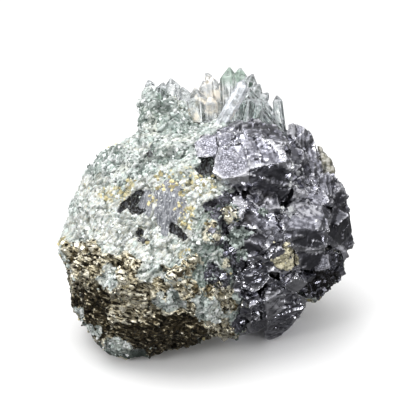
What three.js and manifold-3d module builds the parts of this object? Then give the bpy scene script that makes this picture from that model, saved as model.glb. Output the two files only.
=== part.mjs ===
// Galena specimen: a chlorite rock with brassy chalcopyrite, a thick crust of galena crystals on its
// right side and clear quartz points on its crown.
//
// Every shape is laid out on the show face, the side that a collector turns to the front. It leans back
// by SHOW_TILT. In its axes a runs right, b runs up the leaning face and w stands out of it, and zero is
// the middle of the face. A corner is given as [a, b, w]: the place where it appears from
// VIEWING_DISTANCE, in millimetres, and how far it stands out of the middle plane.
// The part's own frame is +Z up, with its origin on the ground below the middle of the bounding box.

import * as THREE from "three";
import { ConvexGeometry } from "three/addons/geometries/ConvexGeometry.js";
import { mergeVertices } from "three/addons/utils/BufferGeometryUtils.js";
import Module from "manifold-3d";

// ---------------------------------------------------------------- driving dimensions, in millimetres
const SHOW_TILT = THREE.MathUtils.degToRad(22);
const VIEWING_DISTANCE = 315.5;
const MIDDLE_HEIGHT = 35.2; // of the show face's middle above the ground
const GAP = 0.3; // clearance between minerals that grew against each other
const SMALLEST_PIECE = 6; // cubic millimetres: a chip below this is left out

// The rock: a rounded lump about this centre, this deep in front of it and behind it.
const ROCK_CENTRE = new THREE.Vector3(0, -5.5, 0);
const ROCK_FRONT = 30;
const ROCK_BACK = 28;
const OUTLINE_MARGIN = 1.5; // that the roughness adds to the outline
const ROCK_SQUARENESS = 2.3; // 2 is an ellipsoid, more is boxier
const ROCK_DETAIL = 10; // subdivisions of each icosahedron edge
const FACE_ROUNDING = 1.6; // of the edges between the rock's broken faces

// The rock's outline on the middle plane.
const ROCK_OUTLINE = [
  [-18, 20.7], [-24.3, 18], [-29.8, 14.2], [-31.9, 11.5], [-34.5, 7.2], [-37.1, 1.4], [-37.9, -3.8],
  [-39.9, -7.9], [-39.9, -11.5], [-39, -15], [-37.7, -18.6], [-37.1, -24], [-36.2, -27.8],
  [-34.5, -31.7], [-31.5, -34.9], [-28.9, -37.9], [-27.6, -39.9], [-24.3, -40.5], [-19.9, -41],
  [-16.4, -40.4], [-14.5, -38.2], [-8.7, -37.3], [-4.1, -37], [-0.8, -35.8], [1.9, -34.7],
  [5.5, -34.7], [10.1, -33.9], [14.7, -33.9], [18.3, -32.2], [21.3, -29.5], [24.3, -26.2], [26.8, -24],
  [30.6, -22.4], [34.1, -19.1], [36.6, -15.6], [36.9, -11.5], [33.3, -7.4], [31.7, -1.9], [29.5, 4.9],
  [27.3, 9.8], [25.1, 14.5], [22.4, 18.6], [17.5, 21.8], [8.7, 23.5], [-0.8, 23.5], [-10.4, 22.9],
];

// Broken faces that cut the lump: a normal, and the distance from the rock's centre.
const BROKEN_FACES = [
  { normal: [-0.3, 0.25, 0.92], distance: 28.5 }, // the chlorite face
  { normal: [-0.55, 0.62, 0.56], distance: 31.5 }, // the slope at the upper left
  { normal: [-0.1, -0.64, 0.76], distance: 32 }, // below the brow
  { normal: [-0.85, -0.35, 0.4], distance: 39.5 },
  { normal: [-0.62, 0.1, -0.78], distance: 28 },
  { normal: [0.1, 0.66, -0.74], distance: 26 },
  { normal: [0.68, -0.2, -0.7], distance: 25 },
  { normal: [-0.3, -0.6, -0.74], distance: 29.5 },
];
const UNDERSIDE_CLEARANCE = 1.4; // of the rock's underside above the ground, between its feet

// Flat faces that the galena crust and the quartz sit on, in the same way.
const SEAT_FACES = [
  { normal: [0.76, 0.06, 0.64], distance: 22.5 }, // the middle of the crust
  { normal: [0.5, 0.6, 0.62], distance: 25.5 }, // the crown
  { normal: [0.97, 0.1, 0.1], distance: 25.5 }, // the right side
  { normal: [0.7, 0.7, 0.05], distance: 27.5 }, // the right ridge
  { normal: [0.72, -0.45, 0.53], distance: 23.5 }, // the lower lump
  { normal: [0.78, -0.1, -0.62], distance: 20 }, // the back
  { normal: [0.75, -0.6, -0.2], distance: 23 }, // below, at the right
  { normal: [0.05, 0.93, -0.35], distance: 25 }, // under the quartz
];

// Lumps, and pits where the height is negative, at [a, b] on the show face.
const FRONT_LUMPS = [
  { at: [-38.8, -9.6], height: 1.6, width: 4 },
  { at: [-33.9, -14.7], height: 2.0, width: 5 },
  { at: [-29.5, -18.6], height: 1.8, width: 5 },
  { at: [-21.3, -19.7], height: 2.6, width: 4.5 },
  { at: [-15.3, -21.3], height: 2.0, width: 4.5 },
  { at: [-8.7, -21.8], height: 1.8, width: 4.5 },
  { at: [-2.2, -24], height: 2.0, width: 4.5 },
  { at: [3.8, -26.8], height: 1.8, width: 4.5 },
  { at: [-25.4, -25.1], height: -1.6, width: 4 },
  { at: [-15.8, -26.2], height: -1.8, width: 4.5 },
  { at: [-8.2, -27.3], height: -1.2, width: 4 },
  { at: [-26.8, -33.3], height: 1.4, width: 6 },
  { at: [-13.1, -31.1], height: 1.5, width: 7 },
  { at: [-2.2, -31.1], height: 1.2, width: 6 },
  { at: [-20.2, 0.5], height: -2.6, width: 3.6 },
  { at: [-10.9, 1.6], height: 2.0, width: 5.5 },
  { at: [-8.7, -6.6], height: -2.2, width: 3.2 },
  { at: [-17.5, -8.7], height: -1.6, width: 2.6 },
  { at: [-25.1, -15.8], height: -1.8, width: 2.4 },
  { at: [-0.8, 0], height: 1.6, width: 5 },
  { at: [-0.8, -10.9], height: 1.4, width: 5 },
  { at: [1.1, -18.3], height: 1.4, width: 5 },
  { at: [-24, 13.1], height: 1.8, width: 5 },
  { at: [-28.4, 9.8], height: 1.4, width: 4 },
  { at: [-15.3, 13.1], height: 1.6, width: 4.5 },
  { at: [-8.7, 15.8], height: 1.2, width: 4 },
  { at: [-31.7, -1.9], height: 1.2, width: 5 },
  { at: [-1.1, 12], height: -1.8, width: 3.4 },
];

// Lumps that show only from the sides and from behind, each toward [a, b, w] from the rock's centre.
const FAR_LUMPS = [
  { toward: [-0.7, 0.3, -0.65], height: 3.4, width: 8 },
  { toward: [-0.3, 0.1, -0.95], height: 3.2, width: 9 },
  { toward: [0.2, 0.35, -0.92], height: -3.0, width: 8 },
  { toward: [-0.1, -0.45, -0.9], height: 3.2, width: 8 },
  { toward: [-0.8, -0.3, -0.5], height: -2.4, width: 7 },
  { toward: [0.45, -0.1, -0.88], height: 2.6, width: 8 },
  { toward: [-0.45, 0.7, -0.55], height: 2.4, width: 7 },
  { toward: [-0.6, -0.1, -0.8], height: -2.2, width: 6 },
  { toward: [-0.1, 0.5, -0.85], height: 2.2, width: 6 },
  { toward: [-0.95, 0.1, -0.1], height: 1.0, width: 7 },
];

// Feet that the rock rests on, toward [a, b, w] from its centre.
const FEET = [
  { toward: [-21, -34, 9], height: 0.6, width: 5 },
  { toward: [-14, -34, 10], height: 1.2, width: 5 },
  { toward: [-16, -21, -21], height: 5.5, width: 8 },
  { toward: [13, -21, -21], height: 5.5, width: 8 },
];

// Two sizes of roughness over the whole rock: how high, and how far from lump to lump.
const ROUGHNESS = [
  { height: 1.6, spacing: 11 },
  { height: 2.0, spacing: 5.5 },
];

// Grains of the chlorite knob at the upper left: a centre and a radius.
const KNOB = [
  { centre: [-11.5, 19.4, 5], radius: 7.6 },
  { centre: [-12.8, 23.8, 5], radius: 5.2 },
  { centre: [-9, 22.9, 3], radius: 4.8 },
  { centre: [-16.7, 27.3, 5], radius: 2.6 },
  { centre: [-15.3, 30.3, 4], radius: 2.5 },
  { centre: [-16.1, 24.3, 6], radius: 2.8 },
  { centre: [-13.4, 26.5, 8], radius: 2.4 },
  { centre: [-11.2, 26.2, 8], radius: 2.6 },
  { centre: [-12.3, 29.2, 2], radius: 2.3 },
  { centre: [-10.1, 28.1, 6], radius: 2.5 },
  { centre: [-8.2, 26.8, 4], radius: 2.6 },
  { centre: [-5.7, 21.3, 4], radius: 2.8 },
];
const COARSE_GRAIN = 7; // radius above which a grain takes one more subdivision
const KNOB_ROUGHNESS = 0.5;
const GRAIN_LUMPS = 0.6; // from lump to lump on a grain, in radii

// Chalcopyrite and pyrite crystals that stand out of the brow, at [a, b], with their edge length.
const BRASSY_CRYSTALS = [
  { at: [-36.9, -11.5], edge: 2.8 }, { at: [-34.9, -13.1], edge: 2.6 }, { at: [-30.3, -16.9], edge: 2.8 },
  { at: [-24.3, -17.7], edge: 2.6 }, { at: [-22.4, -18.8], edge: 3.4 }, { at: [-20.5, -17.2], edge: 2.8 },
  { at: [-29.8, -9.6], edge: 2.4 }, { at: [-7.9, -17.2], edge: 3.8 }, { at: [-3.5, -19.9], edge: 3.0 },
  { at: [-10.1, -22.1], edge: 2.8 }, { at: [-3.3, -14.7], edge: 2.2 }, { at: [1.1, -8.2], edge: 2.8 },
  { at: [6.3, -2.5], edge: 3.0 }, { at: [4.4, -27.6], edge: 2.8 }, { at: [-5.5, -30.6], edge: 2.4 },
];
const BRASSY_HEIGHT = [0.7, 1]; // least and most, in edges
const BRASSY_DEPTH = 0.9; // in edges
const BRASSY_LIFT = 0.1; // of a crystal's middle above the rock, in edges

// The dark lobe of bare rock at the lower right, the convex body of its corners.
const LOBE = [
  [33.3, -11.5, 4], [36.9, -12.3, -2], [37.9, -13.7, -5], [36.9, -17.5, -5], [35.5, -19.9, -4],
  [32.5, -21, 0], [31.4, -22.9, 0], [29.2, -25.1, -2], [27, -24.8, 0], [25.7, -22.7, 8],
  [26.8, -18.8, 12], [29.5, -14.7, 13], [31.1, -12, 13], [33.9, -12.8, -24], [34.7, -18.3, -22],
  [28.4, -23.8, -18], [17.5, -14.7, -2], [18.6, -16.4, -8],
];

// Galena crystals of the crust, each the convex body of its corners, with this many cleavage ledges
// broken out of its edges.
const GALENA = [
  // crown
  { steps: 0, corners: [
    [1.1, 9.6, 27.5], [2.7, 15.8, 25.9], [6.3, 16.9, 26.5], [4.1, 7.9, 28.9], [10.4, 9, 30.5],
    [11.5, 10.4, 30.6], [4.4, 21.6, 20], [7.9, 20.7, 25], [13.7, 19.7, 24.7], [19.1, 16.1, 26],
    [21.3, 13.1, 27.5], [15.8, 11.5, 29.3], [22.9, 9.8, 24], [23.1, 6.6, 23], [20.5, 1.6, 20],
    [18.3, 0.8, 21.5], [13.7, 4.1, 26], [8.7, 4.9, 27.5], [2.7, 4.9, 25], [4.4, 19.1, 6],
    [21, 15.8, 6], [22.1, 4.4, 6], [4.6, 2.2, 6]
  ] },
  // crown ledge
  { steps: 1, corners: [
    [2.7, 4.4, 26], [3, 3, 26], [6, 1.9, 26.5], [9.8, -0.3, 25.5], [13.1, 1.9, 26.5], [14.7, 4.1, 26],
    [8.7, 4.9, 27.5], [4.6, 3.5, 10], [14.2, 0.8, 10], [8.7, 0.5, 10]
  ] },
  // left plate
  { steps: 0, corners: [
    [-3.8, 17.7, 22.5], [-0.8, 20.2, 21.5], [2.5, 19.9, 22.5], [3, 16.1, 24.5], [1.1, 13.9, 25.2],
    [-1.4, 14.2, 24.5], [-3.3, 13.7, 24], [-2.2, 18.6, 12], [2.2, 18.6, 12], [1.6, 14.2, 14],
    [-2.7, 14.2, 14]
  ] },
  // stepped corner
  { steps: 2, corners: [
    [1.9, 21.3, 22], [4.6, 22.1, 19], [7.1, 20.2, 24], [6.6, 18, 26.6], [4.9, 16.4, 26.8],
    [2.7, 17.5, 25], [2.2, 19.4, 24], [2.7, 21.3, 8], [6.6, 21.3, 8]
  ] },
  // rear ridge
  { steps: 3, corners: [
    [5.2, 23.2, 13], [9.6, 23.8, 11], [13.7, 23.5, 10], [18.8, 21.8, 9], [21, 18.6, 12],
    [22.4, 16.4, 15], [20.5, 15.3, 20], [14.7, 19.1, 20], [8.7, 20.5, 20], [5.5, 21.6, 16],
    [6, 22.7, -3], [18.8, 21.3, -5], [22.1, 16.7, -1]
  ] },
  // right ridge
  { steps: 4, corners: [
    [22.1, 22.1, 4], [23.5, 23.1, 2], [25.4, 22.1, 1], [27.6, 20.6, -1], [29.2, 17.7, -2],
    [30.6, 14.2, 0], [31.1, 9.8, 4], [28.4, 8.7, 10], [25.9, 10.9, 10], [24, 15.8, 9], [22.1, 18.6, 7],
    [22.4, 21.8, -10], [27.3, 19.7, -14], [30, 13.1, -16], [29.5, 9.3, -12], [22.9, 15.8, -6]
  ] },
  // right crystal
  { steps: 4, corners: [
    [29.2, 9.6, 9], [32.8, 8.7, 4], [34.1, 8.5, 1], [35.8, 7.1, -1], [36.9, 5.2, -2], [37.9, 2.2, -3],
    [37.9, 0.5, 1], [33.3, 1.1, 12], [28.4, 1.4, 15], [26.5, 3.8, 14], [28.1, 6.6, 12], [29.5, 9, -14],
    [35.5, 6.6, -18], [37.4, 1.6, -18], [30.6, 1.1, -12]
  ] },
  // middle crystal
  { steps: 0, corners: [
    [19.4, -0.3, 22], [22.1, 1.1, 20], [27.6, 1.9, 17], [31.1, 1.1, 15], [33.6, -1.1, 14],
    [32.8, -6, 18], [32.5, -10.4, 18], [31.1, -11.5, 19], [23.8, -12, 24], [21.3, -9.6, 26.5],
    [20.7, -6, 27], [19.9, -3.3, 26], [21, 0.8, 0], [31.9, 0.5, -2], [32.8, -10.4, -2],
    [22.4, -11.5, 2]
  ] },
  // middle underside
  { steps: 2, corners: [
    [23.8, -11.5, 22], [31.9, -10.6, 16], [30.8, -13.7, 15], [29.5, -16.7, 14], [25.1, -16.4, 19],
    [23.5, -14.2, 21], [24, -12, 2], [31.1, -11.5, 0], [29.2, -16.4, 0], [24.6, -16.4, 2]
  ] },
  // far right
  { steps: 4, corners: [
    [33, 1.4, 9], [36, 1.1, 4], [38.2, -1.1, 0], [38.5, -4.1, -1], [39.3, -6.6, -2], [38.2, -9, 2],
    [36.6, -10.4, 6], [33.3, -10.4, 12], [32.5, -7.4, 15], [32.5, -1.9, 14], [33.9, 0.8, -14],
    [38.2, -1.9, -18], [38.8, -6.6, -18], [34.7, -10.6, -14]
  ] },
  // edge crystal
  { steps: 1, corners: [
    [37.4, -7.6, -2], [39.3, -7.1, -4], [40, -9, -5], [39, -11.2, -5], [37.7, -12, -2], [36, -10.4, 2],
    [37.7, -8.2, -14], [39.3, -10.4, -14], [36.6, -11.5, -10]
  ] },
  // rough middle
  { steps: 6, corners: [
    [7.9, -1.1, 27.6], [10.4, 0.5, 27], [14.7, 3.3, 25.5], [18.3, 0.5, 24], [20.5, -3.8, 25.5],
    [21.6, -8.7, 26], [22.4, -12, 24.5], [22.4, -14.7, 23], [19.7, -17.5, 22.5], [14.7, -18, 23.5],
    [10.4, -16.9, 25], [8.2, -13.7, 26.5], [7.4, -8.7, 28.2], [7.4, -4.6, 28.6], [8.7, -1.9, 8],
    [19.7, -0.5, 8], [21, -14.2, 6], [10.1, -16.4, 8]
  ] },
  // upper border
  { steps: 2, corners: [
    [2.5, 3.8, 26.5], [6.6, 3.8, 28], [10.6, 1.1, 28], [9.6, -4.4, 29], [5.5, -5.5, 30.2],
    [3, -1.6, 29.5], [3.3, 3.3, 8], [9.3, 2.2, 8], [8.2, -4.4, 8]
  ] },
  // middle border
  { steps: 2, corners: [
    [4.4, -4.9, 30.2], [8.2, -3.3, 29.4], [9.3, -10.4, 28.6], [8.7, -15.3, 27.2], [6, -16.4, 27.8],
    [4.4, -12, 29.6], [6.6, -4.9, 8], [9.3, -9.8, 8], [7.1, -15.3, 8]
  ] },
  // lower border
  { steps: 1, corners: [
    [5.5, -16.4, 27.6], [8.7, -15.8, 26.6], [9.6, -20.7, 24.4], [8.2, -25.1, 22], [5.5, -24, 23.2],
    [4.9, -19.7, 26], [7.6, -16.9, 8], [9.3, -20.7, 6], [7.1, -24, 5]
  ] },
  // right shoulder
  { steps: 3, corners: [
    [21.8, -14.7, 22], [25.1, -16.1, 19], [26.8, -18.3, 14], [26.2, -21.3, 12], [23.8, -22.7, 14],
    [21, -21.3, 17], [19.4, -18.3, 21], [22.4, -15.6, 2], [26.2, -19.7, -2], [22.4, -21.8, 0]
  ] },
  // lower facets
  { steps: 3, corners: [
    [10.4, -16.4, 24.5], [14.7, -16.9, 23.5], [16.7, -18.6, 22], [14.7, -21.3, 22],
    [11.5, -22.7, 22.5], [7.6, -22.4, 23], [6.8, -19.9, 24.5], [8.7, -17.5, 5], [14.7, -18, 5],
    [12.8, -21.8, 4]
  ] },
  // lower crystal
  { steps: 6, corners: [
    [14.7, -20.7, 22], [16.7, -18.3, 21], [21.6, -21.6, 17], [23.8, -23.2, 14], [26.5, -24.3, 9],
    [26.5, -26.8, 7], [23.8, -29.5, 6], [22.7, -31.9, 3], [19.9, -34.9, -2], [17.2, -36, -4],
    [15.3, -35.5, 2], [16.4, -31.1, 12], [16.9, -25.1, 19], [14.7, -25.1, 20], [16.9, -21, -4],
    [25.1, -24.6, -12], [25.7, -27.3, -14], [20.7, -33.3, -16], [16.4, -34.9, -14]
  ] },
  // lower plate
  { steps: 1, corners: [
    [10.4, -31.9, 10], [13.8, -28.9, 14], [16.9, -28.1, 14.5], [17.7, -30.6, 10], [15.6, -32.5, 8],
    [11.5, -34.1, 7], [11.5, -33.3, -6], [16.9, -31.9, -6], [14.7, -28.9, -2]
  ] },
  // lower left
  { steps: 2, corners: [
    [1.9, -34.9, 0], [0.8, -32.5, 8], [4.6, -30.3, 12.5], [8.7, -29.8, 13.5], [10.9, -31.7, 10],
    [10.6, -34.4, 1], [7.4, -34.9, -1], [1.9, -34.4, -12], [10.4, -33.9, -12], [6, -31.1, -6]
  ] },
  // lower slope
  { steps: 4, corners: [
    [7.6, -21.8, 22.5], [11.5, -22.4, 22.5], [15, -24.6, 20], [14.7, -27.8, 16.5], [11.5, -30.3, 13.5],
    [7.6, -29.5, 15], [5.7, -26.5, 18.5], [7.6, -23.8, 2], [14.2, -25.1, 2], [12.8, -29.8, -2],
    [7.6, -28.9, 2]
  ] },
  // recess beside the crown
  { steps: 0, corners: [
    [22.1, 16.9, 11], [26.2, 15.8, 10], [28.9, 9.8, 8], [28.7, 4.4, 10], [26.5, 4.4, 14],
    [22.9, 4.4, 18], [22.4, 10.9, 15], [22.4, 15.8, 0], [26.2, 4.9, 0]
  ] },
  // recess under the rough middle
  { steps: 0, corners: [
    [8.2, -14.7, 23], [14.7, -16.4, 20], [21.8, -14.7, 18], [25.7, -20.7, 9], [20.7, -25.1, 13],
    [14.7, -30, 10], [8.2, -28.4, 12], [6.6, -20.7, 20], [10.1, -16.9, 5], [22.4, -16.9, 0],
    [14.7, -27.8, -2]
  ] },
];

// Galena cubes that carry the crust round the side and the back, each at [a, b, w] from the rock's
// centre, and turned by these degrees.
const FAR_GALENA = [
  { at: [27, 5, -12], edge: 15, turn: [20, 40, 10] },
  { at: [25, -12, -12], edge: 14, turn: [50, 20, 30] },
  { at: [20, 20, -13], edge: 13, turn: [15, 30, 50] },
  { at: [22, -3, -22], edge: 14, turn: [35, 15, 60] },
  { at: [14, -21, -10], edge: 12, turn: [30, 10, 20] },
  { at: [14, 12, -24], edge: 12, turn: [60, 25, 15] },
];
const FAR_GALENA_STEPS = 2;
const LEDGE_DISTANCE = 22; // from the rock's centre, beyond which cleavage breaks ledges
const SHARP_EDGE = THREE.MathUtils.degToRad(25);
const SHORT_EDGE = 3; // below which no ledge breaks out
const LEDGE_LENGTH = [0.5, 1.5]; // least and most, in lengths of the edge
const LEDGE_WIDTH = [2, 7]; // least and most of the block that is broken out round an edge's end
const LEDGE_DEPTH = [1.4, 3.6];
const CUBE_DEPTH = 0.85; // of a galena cube, in edges

// Small galena cubes in the crevices of the crust: where each appears, its edge and its turn.
const SMALL_GALENA = [
  { at: [17.5, 0.5, 24], edge: 4.4, turn: [50, 10, 20] },
  { at: [23.5, 3, 17], edge: 5.2, turn: [30, 20, 60] },
  { at: [16.4, -9.3, 25], edge: 3.6, turn: [15, 25, 40] },
  { at: [20.7, -14.7, 21], edge: 3.8, turn: [20, 60, 20] },
  { at: [23.5, -19.4, 17], edge: 5.0, turn: [35, 5, 45] },
  { at: [11.2, -24.8, 19.5], edge: 3.6, turn: [15, 35, 25] },
  { at: [23.5, -25.9, 5], edge: 4.2, turn: [25, 25, 55] },
  { at: [34.9, -3.8, 6], edge: 5.4, turn: [40, 50, 5] },
  { at: [34.4, 3.3, 3], edge: 5.0, turn: [20, 20, 35] },
  { at: [30, -14.7, 12], edge: 4.6, turn: [5, 20, 10] },
  { at: [34.7, 0.3, -4], edge: 5.6, turn: [10, 20, 30] },
  { at: [34.4, -11.2, -2], edge: 6.0, turn: [30, 10, 20] },
  { at: [29.5, 8.5, -3], edge: 6.2, turn: [20, 50, 10] },
];

// Quartz points of the crown: base, tip, radius, and how much of the radius is left across the flat.
const QUARTZ = [
  { base: [-4.9, 20.7, 0], tip: [-6.8, 33.3, -3], radius: 2.3, flat: 0.8 },
  { base: [-2.5, 19.7, 2], tip: [-3.5, 33.3, -1], radius: 4.0, flat: 0.7 },
  { base: [-5.2, 18, -3], tip: [-8.2, 32.2, -8], radius: 2.6, flat: 0.9 },
  { base: [1.4, 20.2, 2], tip: [0.8, 30.8, 3], radius: 2.0, flat: 0.7 },
  { base: [1.6, 21.8, -4], tip: [-1.4, 35.2, -6], radius: 2.1, flat: 0.8 },
  { base: [3, 21.8, -5], tip: [1.1, 36, -7], radius: 1.8, flat: 0.9 },
  { base: [3.8, 21.8, -8], tip: [-0.3, 37.3, -8], radius: 1.2, flat: 0.8 },
  { base: [6.3, 21.3, -8], tip: [5.6, 39, -9], radius: 3.4, flat: 0.8 },
  { base: [8.2, 21.3, -10], tip: [9, 38.6, -11], radius: 3.2, flat: 0.8 },
  { base: [9, 21.3, -8], tip: [12, 37.1, -9], radius: 2.8, flat: 0.8 },
  { base: [9.8, 21.3, -6], tip: [13.9, 34.4, -7], radius: 2.2, flat: 0.8 },
  { base: [10.4, 21.8, -5], tip: [16.4, 31.9, -6], radius: 1.5, flat: 0.9 },
  { base: [12, 21.3, -8], tip: [14.7, 30.6, -9], radius: 3.0, flat: 0.7 },
  { base: [11.5, 21, -3], tip: [12, 33.3, -4], radius: 4.1, flat: 0.7 },
  { base: [21, 18.3, -3], tip: [9.8, 31.9, -2], radius: 1.4, flat: 0.9 },
  { base: [21.6, 18.6, -5], tip: [14.7, 29.8, -5], radius: 1.2, flat: 0.8 },
  { base: [20.5, 16.9, -4], tip: [18.7, 31.1, -5], radius: 1.8, flat: 0.6 },
  { base: [-1.6, 16.4, -7], tip: [-4.9, 31.7, -16], radius: 2.6, flat: 0.8 },
  { base: [3.8, 15.8, -9], tip: [3.8, 34.9, -17], radius: 2.9, flat: 0.8 },
  { base: [9.6, 15.8, -9], tip: [12, 32.8, -18], radius: 2.5, flat: 0.9 },
  { base: [13.9, 15.8, -5], tip: [18.3, 27.3, -13], radius: 2.0, flat: 0.8 },
  { base: [1.6, 15.3, -10], tip: [-0.8, 30, -21], radius: 1.8, flat: 0.9 },
  { base: [5.5, 14.7, -11], tip: [8.2, 29.5, -24], radius: 2.0, flat: 0.8 },
];
const LEANING_PRISM = { base: [3, 21.3, 10], tip: [10.4, 34.9, 6], radius: 2.0, flat: 0.8 };
const KNOB_POINTS = [
  { base: [-15.3, 27.8, 4], tip: [-16.1, 35.4, 2], radius: 1.6, flat: 0.8 },
  { base: [-12.8, 27.8, 6], tip: [-12.4, 34.7, 5], radius: 1.7, flat: 0.8 },
  { base: [-9.6, 25.7, 2], tip: [-9.8, 35.8, 0], radius: 2.5, flat: 0.7 },
];
const POINT_LENGTH = 1.1; // of a quartz point's tip, in radii
const PRISM_SIDES = 6;
const LATHE_AXIS = new THREE.Vector3(0, 1, 0);
const TIP_SHIFT = 0.8; // of a tip off its axis, in radii from side to side

// Beads of pale translucent quartz and calcite on the right ridge's edge.
const EDGE_BEADS = [
  { centre: [28.8, 17.5, -3], radius: 1.1 },
  { centre: [29.8, 15.7, -2], radius: 1.4 },
  { centre: [30.8, 13.8, -1], radius: 1.7 },
  { centre: [31.9, 12.1, 0], radius: 2.0 },
  { centre: [32.8, 10.2, 0.5], radius: 1.9 },
];
const BEAD_ROUGHNESS = 0.15;

const BIG = 400; // edge of the blocks that stand for all the room on one side of a plane
const SAME_POINT = 1e-4; // corners closer than this are one
const SETTLING_STEPS = 20; // in which a point settles on the rock's front
const SEEDS = { galena: 10, farGalena: 40, quartz: 60, knobPoints: 80, leaningPrism: 90 };

// ---------------------------------------------------------------- small tools
const wasm = await Module();
wasm.setup();

// Numbers from 0 to 1, the same at each run for one seed.
function randomFrom(seed) {
  let state = seed;
  return () => {
    state = (state + 0x6d2b79f5) | 0;
    let t = Math.imul(state ^ (state >>> 15), 1 | state);
    t = (t + Math.imul(t ^ (t >>> 7), 61 | t)) ^ t;
    return ((t ^ (t >>> 14)) >>> 0) / 4294967296;
  };
}

// The value, from -1 to 1, of the noise lattice at whole numbers.
function lattice(i, j, k) {
  let h = Math.imul(i, 374761393) + Math.imul(j, 668265263) + Math.imul(k, 1440662683);
  h = Math.imul(h ^ (h >>> 13), 1274126177);
  return ((h ^ (h >>> 16)) >>> 0) / 2147483648 - 1;
}

// Smooth noise from -1 to 1 at a point, with lumps about one unit apart.
function noise(point) {
  const cell = point.clone().floor();
  const f = point.clone().sub(cell);
  const s = [f.x, f.y, f.z].map((t) => t * t * (3 - 2 * t));
  let sum = 0;
  for (let corner = 0; corner < 8; corner++) {
    const d = [corner & 1, (corner >> 1) & 1, (corner >> 2) & 1];
    const weight = d.reduce((product, bit, axis) => product * (bit ? s[axis] : 1 - s[axis]), 1);
    sum += weight * lattice(cell.x + d[0], cell.y + d[1], cell.z + d[2]);
  }
  return sum;
}

// A corner that appears at [a, b] and stands out by w, in the show face's true axes.
function seen([a, b, w]) {
  const nearer = (VIEWING_DISTANCE - w) / VIEWING_DISTANCE;
  return new THREE.Vector3(a * nearer, b * nearer, w);
}

function turned(degrees) {
  return new THREE.Euler(...degrees.map(THREE.MathUtils.degToRad));
}

function solidOf(geometry) {
  geometry.deleteAttribute("normal");
  geometry.deleteAttribute("uv");
  const merged = mergeVertices(geometry, SAME_POINT);
  return new wasm.Manifold(
    new wasm.Mesh({
      numProp: 3,
      vertProperties: merged.attributes.position.array,
      triVerts: new Uint32Array(merged.index.array),
    }),
  );
}

function geometryOf(solid) {
  const mesh = solid.getMesh();
  const geometry = new THREE.BufferGeometry();
  geometry.setAttribute("position", new THREE.BufferAttribute(mesh.vertProperties, mesh.numProp));
  geometry.setIndex(new THREE.BufferAttribute(mesh.triVerts, 1));
  return geometry;
}

// The convex body of some corners, grown on every side.
function block(corners, growth) {
  const around = growth ? [-growth, growth] : [0];
  const grown = corners.flatMap((corner) =>
    around.flatMap((x) =>
      around.flatMap((y) => around.map((z) => new THREE.Vector3(x, y, z).add(corner))),
    ),
  );
  return solidOf(new ConvexGeometry(grown));
}

const joined = (solids) => solids.reduce((sum, solid) => sum.add(solid));

// The separate bodies of a solid that are worth keeping, largest first.
function bodiesOf(solid) {
  return solid
    .decompose()
    .filter((body) => body.volume() > SMALLEST_PIECE)
    .sort((one, other) => other.volume() - one.volume());
}

// ---------------------------------------------------------------- the rock
const outline = ROCK_OUTLINE.map(([a, b]) => {
  const x = a - ROCK_CENTRE.x;
  const y = b - ROCK_CENTRE.y;
  return { angle: Math.atan2(y, x), radius: Math.hypot(x, y) - OUTLINE_MARGIN };
}).sort((one, other) => one.angle - other.angle);

function outlineRadius(angle) {
  const after = outline.findIndex((point) => point.angle > angle);
  const next = outline[after < 0 ? 0 : after];
  const last = outline[(after < 0 ? outline.length : after || outline.length) - 1];
  const turn = 2 * Math.PI;
  const span = (next.angle - last.angle + turn) % turn;
  const share = ((angle - last.angle + turn) % turn) / span;
  return THREE.MathUtils.lerp(last.radius, next.radius, share);
}

function plane({ normal, distance }) {
  return { normal: new THREE.Vector3(...normal).normalize(), distance };
}

const down = [0, -Math.cos(SHOW_TILT), -Math.sin(SHOW_TILT)];
const centreHeight = MIDDLE_HEIGHT - ROCK_CENTRE.dot(new THREE.Vector3(...down));
const underside = { normal: down, distance: centreHeight - UNDERSIDE_CLEARANCE };
const brokenFaces = [...BROKEN_FACES, underside].map(plane);

// The smaller of two lengths, rounded off where they are close.
function softMin(one, other, rounding) {
  const h = Math.max(rounding - Math.abs(one - other), 0) / rounding;
  return Math.min(one, other) - (h * h * rounding) / 4;
}

// How far the lump reaches from the rock's centre, before its lumps and pits.
function lumpRadius(direction) {
  const across = Math.hypot(direction.x, direction.y);
  const flat = across / outlineRadius(Math.atan2(direction.y, direction.x));
  const deep = Math.abs(direction.z) / (direction.z > 0 ? ROCK_FRONT : ROCK_BACK);
  const sum = flat ** ROCK_SQUARENESS + deep ** ROCK_SQUARENESS;
  let radius = sum ** (-1 / ROCK_SQUARENESS);
  for (const { normal, distance } of brokenFaces) {
    const facing = normal.dot(direction);
    if (facing > 0) radius = softMin(radius, distance / facing, FACE_ROUNDING);
  }
  return radius;
}

// The point of the lump's front that appears at [a, b].
function onShowFace([a, b]) {
  let w = ROCK_FRONT / 2;
  const point = new THREE.Vector3();
  for (let step = 0; step < SETTLING_STEPS; step++) {
    const direction = seen([a, b, w]).sub(ROCK_CENTRE).normalize();
    point.copy(direction).multiplyScalar(lumpRadius(direction)).add(ROCK_CENTRE);
    w += (point.z - w) / 2;
  }
  return point;
}

function toward(vector) {
  const direction = new THREE.Vector3(...vector).normalize();
  return direction.multiplyScalar(lumpRadius(direction)).add(ROCK_CENTRE);
}

const lumps = [
  ...FRONT_LUMPS.map((lump) => ({ ...lump, centre: onShowFace(lump.at) })),
  ...[...FAR_LUMPS, ...FEET].map((lump) => ({ ...lump, centre: toward(lump.toward) })),
];

// Ridged roughness, half above the lump and half below it.
function roughness(point) {
  return ROUGHNESS.reduce((sum, { height, spacing }) => {
    const ridge = 0.5 - Math.abs(noise(point.clone().divideScalar(spacing)));
    return sum + height * ridge;
  }, 0);
}

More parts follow.
